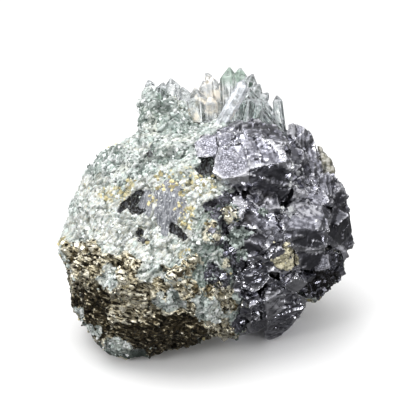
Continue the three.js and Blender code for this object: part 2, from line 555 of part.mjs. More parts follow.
function rockPoint(direction, growth) {
  const radius = lumpRadius(direction);
  const point = direction.clone().multiplyScalar(radius).add(ROCK_CENTRE);
  const raised = lumps.reduce(
    (sum, lump) => sum + lump.height * Math.exp(-point.distanceToSquared(lump.centre) / lump.width ** 2),
    0,
  );
  const reach = radius + raised + roughness(point) + growth;
  return direction.clone().multiplyScalar(reach).add(ROCK_CENTRE);
}

function rockLump(growth) {
  const geometry = new THREE.IcosahedronGeometry(1, ROCK_DETAIL);
  const place = geometry.attributes.position;
  for (let i = 0; i < place.count; i++) {
    const direction = new THREE.Vector3().fromBufferAttribute(place, i).normalize();
    place.setXYZ(i, ...rockPoint(direction, growth));
  }
  return solidOf(geometry);
}

// What is left of a solid on the near side of the seats.
function seated(solid, growth) {
  return SEAT_FACES.map(plane).reduce((left, { normal, distance }) => {
    const beyond = new THREE.BoxGeometry(BIG, BIG, BIG).translate(0, 0, BIG / 2 + distance + growth);
    beyond.applyQuaternion(new THREE.Quaternion().setFromUnitVectors(new THREE.Vector3(0, 0, 1), normal));
    return left.subtract(solidOf(beyond.translate(...ROCK_CENTRE)));
  }, solid);
}

// A rounded grain with a knobbly surface.
function grain({ centre, radius }, growth, rough) {
  const detail = radius > COARSE_GRAIN ? 2 : 1;
  const geometry = new THREE.IcosahedronGeometry(1, detail);
  const place = geometry.attributes.position;
  const middle = seen(centre);
  for (let i = 0; i < place.count; i++) {
    const direction = new THREE.Vector3().fromBufferAttribute(place, i).normalize();
    const point = direction.clone().multiplyScalar(radius).add(middle);
    const reach = radius + growth + rough * noise(point.divideScalar(radius * GRAIN_LUMPS));
    place.setXYZ(i, ...direction.multiplyScalar(reach).add(middle));
  }
  return solidOf(geometry);
}

// A blocky crystal that stands half out of the rock's front, at a turn of its own.
function brassyCrystal({ at, edge }, growth, seed) {
  const random = randomFrom(seed);
  const size = edge + 2 * growth;
  const height = size * THREE.MathUtils.lerp(...BRASSY_HEIGHT, random());
  const geometry = new THREE.BoxGeometry(size, height, size * BRASSY_DEPTH);
  geometry.rotateX(random() * Math.PI).rotateY(random() * Math.PI).rotateZ(random() * Math.PI);
  const centre = onShowFace(at);
  const out = centre.clone().sub(ROCK_CENTRE).normalize();
  const surface = rockPoint(out, BRASSY_LIFT * edge);
  return solidOf(geometry.translate(...surface));
}

function rock(growth) {
  return joined([
    seated(rockLump(growth), growth),
    block(LOBE.map(seen), growth),
    ...KNOB.map((knob) => grain(knob, growth, KNOB_ROUGHNESS)),
    ...BRASSY_CRYSTALS.map((crystal, i) => brassyCrystal(crystal, growth, i + 1)),
  ]);
}

// ---------------------------------------------------------------- galena
// The edges of a convex body that are sharp and lie away from the rock's centre, each with the
// normal of one of its two faces.
function sharpEdges(geometry) {
  const place = geometry.attributes.position;
  const found = new Map();
  const edges = [];
  for (let i = 0; i < place.count; i += 3) {
    const corners = [0, 1, 2].map((k) => new THREE.Vector3().fromBufferAttribute(place, i + k));
    const normal = new THREE.Triangle(...corners).getNormal(new THREE.Vector3());
    for (let k = 0; k < 3; k++) {
      const [from, to] = [corners[k], corners[(k + 1) % 3]];
      const key = (one, other) => [...one, ...other].map((x) => x.toFixed(3)).join();
      const neighbour = found.get(key(to, from));
      found.set(key(from, to), normal);
      const far = from.clone().lerp(to, 0.5).distanceTo(ROCK_CENTRE) > LEDGE_DISTANCE;
      const sharp = neighbour && neighbour.angleTo(normal) > SHARP_EDGE;
      if (far && sharp && from.distanceTo(to) > SHORT_EDGE) edges.push({ from, to, normal });
    }
  }
  return edges;
}

// Ledges that cleavage breaks out of a convex body along its sharp edges.
function cleaved(geometry, steps, seed) {
  const random = randomFrom(seed);
  const edges = sharpEdges(geometry);
  let left = solidOf(geometry);
  for (let step = 0; step < steps && edges.length; step++) {
    const { from, to, normal } = edges[Math.floor(random() * edges.length)];
    const along = to.clone().sub(from).normalize();
    const inward = new THREE.Vector3().crossVectors(normal, along);
    const length = from.distanceTo(to) * THREE.MathUtils.lerp(...LEDGE_LENGTH, random());
    const width = THREE.MathUtils.lerp(...LEDGE_WIDTH, random());
    const depth = THREE.MathUtils.lerp(...LEDGE_DEPTH, random());
    const ledge = new THREE.BoxGeometry(length, width, depth);
    ledge.applyMatrix4(new THREE.Matrix4().makeBasis(along, inward, normal));
    const end = random() < 0.5 ? from : to;
    left = left.subtract(solidOf(ledge.translate(...end)));
  }
  return left;
}

function cube(centre, edge, turn) {
  const geometry = new THREE.BoxGeometry(edge, edge * CUBE_DEPTH, edge).toNonIndexed();
  const placed = new THREE.Matrix4().makeRotationFromEuler(turned(turn)).setPosition(centre);
  return geometry.applyMatrix4(placed);
}

function farCrystal({ at, edge, turn }, growth, seed) {
  const centre = new THREE.Vector3(...at).add(ROCK_CENTRE);
  return cleaved(cube(centre, edge + 2 * growth, turn), growth ? 0 : FAR_GALENA_STEPS, seed);
}

const smallCrystal = ({ at, edge, turn }, growth) => solidOf(cube(seen(at), edge + 2 * growth, turn));

function showCrystal({ corners, steps }, growth, seed) {
  return growth
    ? block(corners.map(seen), growth)
    : cleaved(new ConvexGeometry(corners.map(seen)), steps, seed);
}

function galena(growth) {
  return joined([
    ...GALENA.map((crystal, i) => showCrystal(crystal, growth, SEEDS.galena + i)),
    ...FAR_GALENA.map((crystal, i) => farCrystal(crystal, growth, SEEDS.farGalena + i)),
    ...SMALL_GALENA.map((crystal) => smallCrystal(crystal, growth)),
  ]);
}

// ---------------------------------------------------------------- quartz
// A six-sided prism with a six-sided point, a little flattened and with its tip off the axis.
function quartzPoint({ base, tip, radius, flat }, growth, seed) {
  const random = randomFrom(seed);
  const from = seen(base);
  const along = seen(tip).sub(from);
  const length = along.length();
  const wide = radius + growth / flat;
  const shoulder = length - radius * POINT_LENGTH;
  const profile = [[0, -growth], [wide, -growth], [wide, shoulder], [0, length + 2 * growth]];
  const turns = profile.map((point) => new THREE.Vector2(...point));
  const geometry = new THREE.LatheGeometry(turns, PRISM_SIDES);
  const place = geometry.attributes.position;
  const shift = (random() - 0.5) * radius * TIP_SHIFT;
  for (let i = 0; i < place.count; i++) {
    if (place.getY(i) > (shoulder + length) / 2) place.setX(i, shift);
  }
  geometry.scale(1, 1, flat).rotateY(random() * Math.PI);
  geometry.applyQuaternion(new THREE.Quaternion().setFromUnitVectors(LATHE_AXIS, along.normalize()));
  return solidOf(geometry.translate(...from));
}

// ---------------------------------------------------------------- the specimen
function finish(color, roughness, metalness, opacity = 1) {
  return new THREE.MeshStandardMaterial({
    color, roughness, metalness, opacity, transparent: opacity < 1, flatShading: true,
  });
}

const chloriteRock = finish(0x9fb0a4, 0.9, 0);
const greyGalena = finish(0x62626c, 0.35, 1);
const clearQuartz = finish(0xe6ebe8, 0.05, 0, 0.4);
const paleCalcite = finish(0xb5b58f, 0.3, 0, 0.7);

// From the show face's axes to the upright frame.
const upright = new THREE.Matrix4()
  .makeRotationX(Math.PI / 2 - SHOW_TILT)
  .setPosition(0, 0, MIDDLE_HEIGHT);
const aboveGround = new THREE.BoxGeometry(BIG, BIG, BIG).translate(0, 0, BIG / 2);
const ground = solidOf(aboveGround.applyMatrix4(upright.clone().invert()));

const cluster = (growth) =>
  joined(QUARTZ.map((point, i) => quartzPoint(point, growth, SEEDS.quartz + i)));
const leaning = (growth) => quartzPoint(LEANING_PRISM, growth, SEEDS.leaningPrism);
const knobPoint = (growth, i) => quartzPoint(KNOB_POINTS[i], growth, SEEDS.knobPoints + i);
const beads = (growth) => joined(EDGE_BEADS.map((bead) => grain(bead, growth, BEAD_ROUGHNESS)));

// Each mineral keeps clear of the ones before it in the list.
const taken = [];
function bodies(shape) {
  const free = taken.reduce((solid, other) => solid.subtract(other), shape(0).intersect(ground));
  taken.push(shape(GAP));
  return bodiesOf(free);
}
const rockSolid = bodies(rock)[0];
const galenaBodies = bodies(galena);
const prismBody = bodies(leaning)[0];
const knobPointBodies = KNOB_POINTS.map((_, i) => bodies((growth) => knobPoint(growth, i))[0]);
const quartzBodies = bodies(cluster);
const beadBody = bodies(beads)[0];

const pieces = [
  ["chlorite_rock", rockSolid, chloriteRock],
  ...galenaBodies.map((body, i) => [i ? `galena_crystal_${i}` : "galena_crust", body, greyGalena]),
  ...quartzBodies.map((body, i) => [i ? `quartz_point_${i}` : "quartz_cluster", body, clearQuartz]),
  ["quartz_leaning_prism", prismBody, clearQuartz],
  ...knobPointBodies.map((body, i) => [`quartz_knob_point_${i + 1}`, body, clearQuartz]),
  ["calcite_beads", beadBody, paleCalcite],
];

const specimen = new THREE.Group();
for (const [name, solid, material] of pieces) {
  const mesh = new THREE.Mesh(geometryOf(solid).applyMatrix4(upright), material);
  mesh.name = name;
  specimen.add(mesh);
}

// The origin goes below the middle of the bounding box.
const box = new THREE.Box3().setFromObject(specimen);
const middle = box.getCenter(new THREE.Vector3());
specimen.position.set(-middle.x, -middle.y, -box.min.z);

export default specimen;
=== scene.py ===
# %% [markdown]
# # A galena specimen
#
# The real piece is a hand-sized lump from a mine. Most of it is pale green, sugary chlorite
# rock. Brassy pyrite runs through its lower half, steel-grey galena in stepped cubes covers one
# side, and a spray of clear quartz stands on top.
#
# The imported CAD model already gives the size, the big forms and the place of every piece. This
# lesson keeps those forms and adds what a close look shows: grain, cleavage steps, small
# crystals, and the colour and shine of each mineral. The model is loaded first, because every
# piece made here starts from one of its nodes.

import math

import bmesh
import bpy
import numpy as np
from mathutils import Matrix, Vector
from mathutils.bvhtree import BVHTree


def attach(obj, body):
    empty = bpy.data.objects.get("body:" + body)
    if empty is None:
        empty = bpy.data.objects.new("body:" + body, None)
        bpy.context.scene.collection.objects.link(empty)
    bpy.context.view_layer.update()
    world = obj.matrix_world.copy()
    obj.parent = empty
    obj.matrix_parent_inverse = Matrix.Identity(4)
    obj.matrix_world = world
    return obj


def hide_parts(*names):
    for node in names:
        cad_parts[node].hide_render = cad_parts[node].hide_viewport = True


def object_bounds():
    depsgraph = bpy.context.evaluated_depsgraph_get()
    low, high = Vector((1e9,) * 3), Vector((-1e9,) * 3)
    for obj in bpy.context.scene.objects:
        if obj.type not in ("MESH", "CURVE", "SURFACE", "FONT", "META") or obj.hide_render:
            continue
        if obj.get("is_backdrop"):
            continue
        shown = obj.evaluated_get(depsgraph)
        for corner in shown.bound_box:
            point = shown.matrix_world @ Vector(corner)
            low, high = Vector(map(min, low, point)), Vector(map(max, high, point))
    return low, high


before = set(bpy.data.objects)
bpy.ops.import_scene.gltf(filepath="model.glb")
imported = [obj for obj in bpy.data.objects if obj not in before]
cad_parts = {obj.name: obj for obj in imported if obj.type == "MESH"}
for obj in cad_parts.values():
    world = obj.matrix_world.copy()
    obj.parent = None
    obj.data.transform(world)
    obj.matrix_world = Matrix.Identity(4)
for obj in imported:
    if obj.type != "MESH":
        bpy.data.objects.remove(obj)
cad_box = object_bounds()
MM = 0.001
print("nodes:", ", ".join(sorted(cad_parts)))
print("size in mm:", [round(float(b - a) / MM, 1) for a, b in zip(*cad_box)])

# %% [markdown]
# The specimen has a show side, which leans back as if it was tipped up to the light on a
# shelf. All the markings are placed as seen straight onto that side, in millimetres across and
# up from its middle. The camera looks along the same line, with a long lens as is usual for
# small things, so that the near parts aren't blown up.

# %% The show side and the camera
SHOW_TILT = math.radians(22)
VIEWING_DISTANCE = 315.5 * MM
SHOW_MIDDLE = Vector((-0.596, 2.289, 35.2)) * MM
ACROSS = Vector((1, 0, 0))
UPWARD = Vector((0, math.sin(SHOW_TILT), math.cos(SHOW_TILT)))
TOWARD = Vector((0, -math.cos(SHOW_TILT), math.sin(SHOW_TILT)))
LENS = 100
NEAREST_SEEN = 10 * MM

camera = bpy.data.objects.new("camera", bpy.data.cameras.new("camera"))
camera.data.lens = LENS
camera.data.clip_start = NEAREST_SEEN
camera.location = SHOW_MIDDLE + TOWARD * VIEWING_DISTANCE
camera.rotation_euler = TOWARD.to_track_quat("Z", "Y").to_euler()
bpy.context.scene.collection.objects.link(camera)
bpy.context.scene.camera = camera
print("camera at", [round(value, 3) for value in camera.location])

# %% [markdown]
# Mineral surfaces are rough at many sizes at once. Blender can raise a surface with texture
# modifiers, but plain arithmetic on all the corners at once is quicker and can be steered, so
# the relief is worked out with numpy. Everything starts from one function that gives each cell
# of a grid its own repeatable random number. A salt gives a fresh set of numbers.

# %% Repeatable random numbers
HASH_FACTORS = (0x8DA6B343, 0xD8163841, 0xCB1AB31F)
HASH_MIXERS = (0x7FEB352D, 0x846CA68B)
HASH_SHIFTS = (15, 13, 16)
SALT_FACTOR = 0x9E3779B1
WORD = 2**32


def lot(cells, salt=0):
    """A random number from 0 to 1 for each grid cell, the same on every run."""
    axis_mixer, last_mixer = (np.uint32(mixer) for mixer in HASH_MIXERS)
    axis_shift, middle_shift, last_shift = (np.uint32(shift) for shift in HASH_SHIFTS)
    whole = np.floor(cells).astype(np.int64).astype(np.uint32)
    mixed = np.full(len(whole), (salt * SALT_FACTOR + 1) % WORD, np.uint32)
    for axis, factor in enumerate(HASH_FACTORS):
        mixed ^= whole[:, axis] * np.uint32(factor)
        mixed ^= mixed >> axis_shift
        mixed *= axis_mixer
    mixed ^= mixed >> middle_shift
    mixed *= last_mixer
    mixed ^= mixed >> last_shift
    return mixed / WORD


print("the number of one cell:", lot(np.zeros((1, 3)))[0])

# %% [markdown]
# Smooth lumps come from mixing the numbers at a cell's eight corners. Folding them over at zero
# gives sharp crests, and cutting a slope into steps gives terraces.

# %% Lumps, crests and terraces
FINER = 2.1
FINER_SHARE = 0.35
TREAD_END = 0.62


def smooth(low, high, values):
    """0 below low, 1 above high, and an even ease between them."""
    part = np.clip((values - low) / (high - low), 0, 1)
    return part * part * (3 - 2 * part)


def swell(points, size, salt=0):
    """Smooth lumps about size across, from -1 to 1."""
    scaled = points / size
    corner = np.floor(scaled)
    part = smooth(0, 1, scaled - corner)
    total = 0
    for step in np.ndindex(2, 2, 2):
        weight = np.prod(np.where(step, part, 1 - part), axis=1)
        total = total + weight * lot(corner + step, salt)
    return total * 2 - 1


def ridges(points, size, salt=0):
    """Sharp crests about size apart, from 0 in the hollows to 1 on the crests."""
    crest = 1 - abs(swell(points, size, salt))
    finer = 1 - abs(swell(points, size / FINER, salt + 1))
    return crest * (1 - FINER_SHARE + FINER_SHARE * finer)


def terraces(field, rise):
    """A slope cut into treads with steep fronts, each one rise high."""
    tread = np.floor(field / rise)
    return rise * (tread + smooth(TREAD_END, 1.0, field / rise - tread))


print("a slope of 1.5 in steps of 1:", terraces(np.array([1.5]), 1.0)[0])

# %% [markdown]
# Crystals that grow packed together meet along flat gaps. Each point belongs to the nearest of
# some scattered middles, and the gap is where two of them are equally near. A slanted cut for
# each grain turns rounded sugar into faceted crystal.

# %% Packed grains
FARTHEST = 9.0
SLANT_SALT = 7
HEIGHT_SALT = 5
GRAIN_HEIGHT = 0.3
GRAIN_RISE = 0.35
GRAIN_EDGE = 0.4


def dots(first, second):
    """The dot product of each row with the same row of the other."""
    return np.einsum("ij,ij->i", first, second)


def grains(points, size, salt=0):
    """Packed grains about size across: the gap from each point to its grain's edge, the
    grain's middle, and the grid cell that names the grain."""
    scaled = points / size
    home = np.floor(scaled)
    nearest = np.full(len(points), FARTHEST)
    second = nearest.copy()
    name = home.copy()
    middle = home.copy()
    for step in np.ndindex(3, 3, 3):
        cell = home + step - 1
        centre = cell + np.stack([lot(cell, salt + axis) for axis in range(3)], axis=1)
        reach = np.linalg.norm(scaled - centre, axis=1)
        closer = reach < nearest
        second = np.where(closer, nearest, np.minimum(second, reach))
        nearest = np.where(closer, reach, nearest)
        name[closer] = cell[closer]
        middle[closer] = centre[closer]
    return second - nearest, middle * size, name


def facets(points, size, salt=0):
    """Each grain cut off by a flat face of its own slant: the height there, the gap to the
    grain's edge, and the grid cell that names the grain."""
    edge, middle, name = grains(points, size, salt)
    slant = np.stack([lot(name, salt + SLANT_SALT + axis) - 0.5 for axis in range(3)], axis=1)
    height = dots(points - middle, slant) + size * GRAIN_HEIGHT * lot(name, salt + HEIGHT_SALT)
    return height + size * GRAIN_RISE * np.minimum(edge, GRAIN_EDGE), edge, name


def drawn(points, degrees, stretch):
    """Points pushed together along one direction on the show side, so that noise taken at them
    comes out drawn out along it."""
    angle = math.radians(degrees)
    away = points - np.array(SHOW_MIDDLE)
    across, upward, depth = (away @ np.array(way) for way in (ACROSS, UPWARD, TOWARD))
    along = across * math.cos(angle) + upward * math.sin(angle)
    over = upward * math.cos(angle) - across * math.sin(angle)
    return np.stack([along / stretch, over, depth], axis=1)


print("the gap at one point:", round(grains(np.zeros((1, 3)), 1.0)[0][0], 2))

# %% [markdown]
# The rock and the galena are rebuilt from small even quads, so that there are enough corners
# to move. A voxel remesh does that in one go and leaves one closed skin.

# %% Fine skins of the CAD solids
ROCK_MESH = 0.48 * MM
GALENA_MESH = 0.44 * MM


def new_piece(name, mesh):
    """An object for a mesh, in the scene."""
    piece = bpy.data.objects.new(name, mesh)
    bpy.context.scene.collection.objects.link(piece)
    return piece


def fine_skin(node, name, quad):
    """A closed skin of small quads for a CAD node, as a new object."""
    piece = new_piece(name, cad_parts[node].data.copy())
    remesh = piece.modifiers.new("fine", "REMESH")
    remesh.mode = "VOXEL"
    remesh.voxel_size = quad * 1
    depsgraph = bpy.context.evaluated_depsgraph_get()
    skin = bpy.data.meshes.new_from_object(piece.evaluated_get(depsgraph))
    piece.modifiers.clear()
    piece.data = skin
    return piece


rock = fine_skin("chlorite_rock", "sugary_rock", ROCK_MESH)
galena = fine_skin("galena_crust", "stepped_galena", GALENA_MESH)
for piece in (rock, galena):
    print(piece.name, "has", len(piece.data.polygons), "quads")

# %% [markdown]
# Corners are read and written in one call for the whole mesh, which is far quicker than a loop
# over them. A mask is one number from 0 to 1 for each corner. It is stored on the mesh under a
# name, and the material reads it by that name.

# %% Reading and moving corners
def read_corners(mesh, what="co"):
    """The corners' places, or their normals, as rows of three numbers."""
    source, field = (mesh.vertex_normals, "vector") if what == "normal" else (mesh.vertices, what)
    flat = np.empty(len(mesh.vertices) * 3, np.float32)
    source.foreach_get(field, flat)
    return flat.reshape(-1, 3).astype(float)


def move_corners(mesh, points):
    """Puts the corners at new places, none of them below the shelf."""
    points = points.copy()
    points[:, 2] = np.maximum(points[:, 2], 0)
    mesh.vertices.foreach_set("co", points.astype(np.float32).ravel())
    mesh.update()


def keep(mesh, **masks):
    """Stores masks on the mesh, for its material to read."""
    for name, values in masks.items():
        layer = mesh.attributes.new(name, "FLOAT", "POINT")
        layer.data.foreach_set("value", np.clip(values, 0, 1).astype(np.float32))


def kept(mesh, name):
    """A mask that was stored on the mesh."""
    values = np.empty(len(mesh.vertices), np.float32)
    mesh.attributes[name].data.foreach_get("value", values)
    return values


print("the rock stands", round(read_corners(rock.data)[:, 2].max() / MM, 1), "mm high")

# %% [markdown]
# Crests get a painted highlight in the finishes and creases get painted shade. Comparing a skin
# with a smoothed copy of itself tells one from the other, and more smoothing finds wider ones.

# %% Crests and creases
def bulge(mesh, rounds):
    """How far each corner stands out of its surroundings, in metres: crests are positive and
    creases negative. More rounds of smoothing look at wider surroundings."""
    count = len(mesh.vertices)
    ends = np.empty(len(mesh.edges) * 2, np.int32)
    mesh.edges.foreach_get("vertices", ends)
    first, second = ends.reshape(-1, 2).T
    neighbours = np.bincount(ends, minlength=count)[:, None]
    points = read_corners(mesh)
    even = points
    for _ in range(rounds):
        total = [np.bincount(first, even[second, axis], count)
                 + np.bincount(second, even[first, axis], count) for axis in range(3)]
        even = (even + np.stack(total, axis=1) / neighbours) / 2
    return dots(points - even, read_corners(mesh, "normal"))


def standing(bulges, *bands):
    """A mask of the corners that stand out, or in, by enough. Each band belongs to one of the
    bulges: the height in millimetres where it sets in, where it is full, and its strength."""
    parts = [smooth(start * MM, full * MM, values) * strength
             for values, (start, full, strength) in zip(bulges, bands)]
    return np.maximum(*parts)


print("the rock's sharpest crest stands out", round(bulge(rock.data, 1).max() / MM, 2), "mm")

# %% [markdown]
# Markings are patches: each is an oval on the show side, given by its middle, its half width
# and half height in millimetres, and its turn in degrees. Their edges are made ragged by noise,
# as one mineral fingers into the next. What faces away gets its share from noise alone, since
# the rear of such a lump is the same rock.

# %% Patches of mineral
STRAYS = ((6.0, 2.0), (2.6, 1.1), (1.1, 0.6))
STRAY_SALT = 200
TURNED_AWAY = -0.15
TURNED_TO_US = 0.2
OVAL_OUTSIDE = 1.15
OVAL_INSIDE = 0.85


def on_show_side(points):
    """Where points show on the show side, in millimetres across and up from its middle."""
    away = points - np.array(SHOW_MIDDLE)
    nearer = VIEWING_DISTANCE / (VIEWING_DISTANCE - away @ np.array(TOWARD))
    across = away @ np.array(ACROSS) * nearer
    upward = away @ np.array(UPWARD) * nearer
    return np.stack([across, upward], axis=1) / MM


def stray(points):
    """How far noise carries each point off its place on the show side, in millimetres."""
    away = np.zeros((len(points), 2))
    for size, reach in STRAYS:
        for axis in range(2):
            away[:, axis] += reach * swell(points, size * MM, STRAY_SALT + axis + round(size))
    return away


def patches(shown, ovals):
    """How surely each point is inside one of the ovals, from 0 to 1."""
    inside = np.zeros(len(shown))
    for across, upward, half_width, half_height, turn in ovals:
        angle = math.radians(turn)
        away = shown - (across, upward)
        along = (away[:, 0] * math.cos(angle) + away[:, 1] * math.sin(angle)) / half_width
        over = (away[:, 1] * math.cos(angle) - away[:, 0] * math.sin(angle)) / half_height
        reach = np.hypot(along, over)
        inside = np.maximum(inside, smooth(OVAL_OUTSIDE, OVAL_INSIDE, reach))
    return inside


def front(outward):
    """1 for corners on the show side, 0 for those that face away."""
    return smooth(TURNED_AWAY, TURNED_TO_US, outward @ np.array(TOWARD))


def behind(points, size, salt, low, high):
    """Patches about size millimetres across that set in where noise passes from low to high."""
    return smooth(low, high, swell(points, size * MM, salt))


class Ground:
    """A skin before its relief, and where each corner shows once noise has made it stray."""

    def __init__(self, points, outward, raggedness):
        self.points = points
        self.front = front(outward)
        self.strayed = stray(points)
        self.shown = on_show_side(points) + self.strayed * raggedness

    def mineral(self, ovals, elsewhere=0.0):
        """A mask that follows the ovals in front and falls to other values behind."""
        return patches(self.shown, ovals) * self.front + elsewhere * (1 - self.front)


skin = read_corners(rock.data)
outward = read_corners(rock.data, "normal")
rock_ground = Ground(skin, outward, 1.0)
print(round(100 * rock_ground.front.mean()), "percent of the rock is on the show side")

# %% [markdown]
# The pyrite lies low on the left and under the middle, with clean chlorite between. The cream
# and yellow minerals sit higher, round a grey striped patch, and the deep green is where the
# rock is hollow. Galena goes on beyond the border of its crust as a leaden stain. The pits are
# deep and dark, and small tufts of needles look as dark as they do.

# %% Where the rock's minerals show
BRASS_OVALS = [
    (-34.4, -12.3, 6.6, 3.5, -14), (-24.8, -17.5, 6.8, 5.5, -12), (-32.8, -25.7, 8.2, 12.6, 0),
    (-19.4, -25.1, 6.8, 4.4, 4), (-15.2, -31.9, 14.3, 7.9, 6), (-11.2, -23.1, 7.9, 2.6, 2),
    (-5.7, -16.5, 2.5, 3.1, 0), (1.8, -6.8, 1.8, 3, 0), (6.8, -1.2, 1.9, 2.6, 0),
    (2.7, -32.8, 6, 3.8, 8), (-9.3, -17.5, 2.7, 2.2, 0), (4.1, -25.4, 3.5, 3, 0),
    (-12.1, -15.8, 1.5, 1.6, 0), (-21, -29.2, 5.2, 4.1, 0), (-3.8, -15, 1.9, 2.7, 0),
    (-4.4, -22.2, 3.8, 2.3, 0), (-22.4, -17.1, 3.3, 3.4, 0), (-16.1, -20.3, 2.5, 1.2, 0),
    (3.5, -23.3, 4.6, 1.8, 0),
]
CLEAN_OVALS = [
    (-16.1, -16.1, 3, 4.6, -14), (-10.6, -25.7, 3.5, 3.8, 10), (0, -28.3, 4.4, 3.4, 0),
    (-27.4, -19.2, 1.8, 3.7, -20), (-34.7, -30.3, 1.9, 1.9, 0), (-32.2, -34.1, 2.2, 2.5, -46),
    (-24.2, -38.8, 3.7, 1.6, -6),
]
CREAM_OVALS = [
    (-13.1, -3.3, 19.1, 10.9, 6), (-29.8, 4.4, 5.2, 4.4, 20), (-29.8, -4.8, 8.5, 5.6, 10),
    (-25.1, -6.6, 2.2, 2.7, 60), (-37.1, -9, 3.3, 2.5, 0), (-14.5, 6.8, 4.1, 1.9, 0),
    (-5.5, -8.7, 4.9, 3.3, 0), (-1.4, 6, 4.6, 2.7, 0), (-18.8, 16.9, 3, 1.6, 0),
]
YELLOW_OVALS = [
    (-6, 8.2, 9.8, 2.7, 4), (-4.4, 3.8, 3.8, 1.6, 20), (-24.8, 5.2, 5.2, 2.5, 20),
    (-23.5, 4.1, 2.7, 2.2, 0), (-12.7, 8.6, 1.8, 1, 0), (0.8, 7, 2.5, 2, 0), (-15.6, 2.5, 1.9, 1.9, 0),
    (-8.3, 6.3, 2.9, 1.9, 0), (-5.6, -2.6, 2.9, 2.9, 50), (-5.7, -11.5, 2.5, 1.6, 0),
    (0.3, -5.5, 1.4, 1.6, 0), (-38.2, -9, 2.2, 1.4, 0), (-18.3, -7.1, 1.4, 1.6, 0),
    (-3.8, 3.8, 1.6, 1.1, 0), (3.5, -17.7, 1.4, 1.4, 0),
]
GREEN_OVALS = [
    (-18.6, 11.5, 1.6, 2.2, 0), (-15, 15.7, 1.9, 1.8, 0), (-12.8, 26.8, 3, 3.3, 0),
    (-17.5, 24, 1.6, 2.2, 0), (1.4, -10.9, 7.4, 14.2, -20), (0.3, 12.3, 3.5, 3.5, 0),
    (-32.2, 10.9, 1.6, 2.2, 0), (-6.6, 19.9, 3.3, 1.9, 0), (-27.3, 14.5, 3.3, 1.4, 0),
    (-10.9, 13.9, 2.2, 1.9, 0),
]
# Two of these black patches are painted shade: the one at the foot and the one on the shaded lower
# right.
BLACK_OVALS = [
    (-32.8, -28.9, 6.6, 7.6, 0), (-12.8, -34.7, 14.5, 4.6, 4), (-18, -39.6, 5.5, 3.5, 0),
    (-22.5, 1, 2.3, 1.5, 0), (-20.5, 1.8, 2.2, 2, 30), (-19.1, -1.1, 2.7, 1.6, -35),
    (-17.5, -7.4, 1.6, 1.4, -30), (-8.7, -6, 2.7, 1.4, -42), (-25.1, -15.4, 1.1, 1.5, 0),
    (-16.8, -9.6, 1, 0.8, 0), (-15.8, 15.4, 1.6, 1.2, 0), (0.3, 12.3, 4.1, 3, 20),
    (-12.6, -16.1, 1.1, 1.4, 0), (-8.7, -17.5, 2.2, 1.1, 0), (32.2, -20.2, 7.1, 6.6, 0),
]
GREY_OVALS = [
    (-10.6, 4.1, 4.1, 4.1, -10), (-9, -0.8, 4.6, 3.5, -42), (-12.3, -3.3, 2.5, 4.4, 8),
    (-17.2, 1.4, 1.9, 3.5, 0),
]
LEAD_OVALS = [
    (8.2, -0.5, 6.6, 7.1, 0), (11.2, -15, 5.7, 10.1, 0), (12, -30.8, 3.8, 7.9, 0),
    (33.3, -18, 8.2, 9.3, 0), (14.5, 21.3, 10.6, 2.7, 0), (2.2, -19.4, 2.7, 3.5, 0),
    (1.6, 1.4, 2.2, 1.9, 0), (4.1, -9.3, 2.5, 1.6, 0),
]
PIT_OVALS = [
    (-22.4, 1.1, 1.9, 1.4, 0), (-20.5, 1.8, 1.9, 1.8, 30), (-19.2, -1.1, 2.3, 1.4, -35),
    (-17.5, -7.4, 1.4, 1.1, -30), (-8.7, -6.1, 2.5, 1.2, -42), (-25.3, -15.6, 1.2, 1.6, 0),
    (-0.1, 12.6, 3.7, 2.5, 20), (-12.6, -16.1, 1.1, 1.4, 0), (-15.3, -22.4, 4.4, 1.4, 0),
    (-11.7, 27.3, 1.4, 1.6, 0),
]
TUFT_OVALS = [
    (-11.7, 27.4, 2.5, 2.9, -30), (-18.6, 11.5, 0.8, 1.6, 0), (-15.3, 15.6, 1.6, 1.6, 0),
    (-25.1, 15, 1.1, 1.4, 0), (-0.5, 9.3, 1.6, 1.1, 0), (2.7, 6.8, 1.1, 1.9, 0),
    (-8.5, 14.7, 1.4, 1.1, 0), (0.3, -7.9, 1.4, 1.4, 0),
]
print(len(BRASS_OVALS), "patches of pyrite and", len(CLEAN_OVALS), "of clean chlorite")

# %% [markdown]
# Each mineral becomes a mask over all the corners. Behind, pyrite fills the lower part all
# round up to a ragged line, the lowest part is black, and the others come from noise.

# %% The rock's minerals
BRASS_TOP = 24 * MM
BRASS_BORDER = 5 * MM
BRASS_RAGGED = 14 * MM
BLACK_TOP = 12 * MM

patchy = swell(skin, 9 * MM, 21) * 0.6 + swell(skin, 4 * MM, 22) * 0.4
ragged_height = skin[:, 2] + patchy * BRASS_RAGGED
low = smooth(BRASS_TOP + BRASS_BORDER, BRASS_TOP - BRASS_BORDER, ragged_height)
lowest = smooth(BLACK_TOP, 0, skin[:, 2]) * 0.8
clean = rock_ground.mineral(CLEAN_OVALS, smooth(0.35, 0.5, patchy))
minerals = {
    "brass": rock_ground.mineral(BRASS_OVALS, low) * (1 - clean),
    "black": rock_ground.mineral(BLACK_OVALS, lowest) * (1 - clean),
    "grey": rock_ground.mineral(GREY_OVALS, behind(skin, 7, 31, 0.62, 0.7)),
    "yellow": rock_ground.mineral(YELLOW_OVALS, behind(skin, 5, 41, 0.45, 0.6)),
    "cream": rock_ground.mineral(CREAM_OVALS, behind(skin, 12, 51, 0.1, 0.5)),
    "green": rock_ground.mineral(GREEN_OVALS, behind(skin, 8, 61, 0.2, 0.6)),
    "lead": rock_ground.mineral(LEAD_OVALS, behind(skin, 10, 81, 0.55, 0.7)),
}
pit = rock_ground.mineral(PIT_OVALS, behind(skin, 6, 71, 0.75, 0.9))
for name, values in minerals.items():
    print(name, "covers", round(100 * values.mean()), "percent of the rock")

# %% [markdown]
# The rock's relief has three parts. Ridges a few millimetres apart make its lumps, packed
# grains make it sugary, and where it is brassy or leaden each grain is cut off flat, as metal
# crystals are. Streaks lean one way across the pale part, so the grains are drawn out. The
# relief fades out over the lowest quarter of a millimetre, because the specimen rests there.

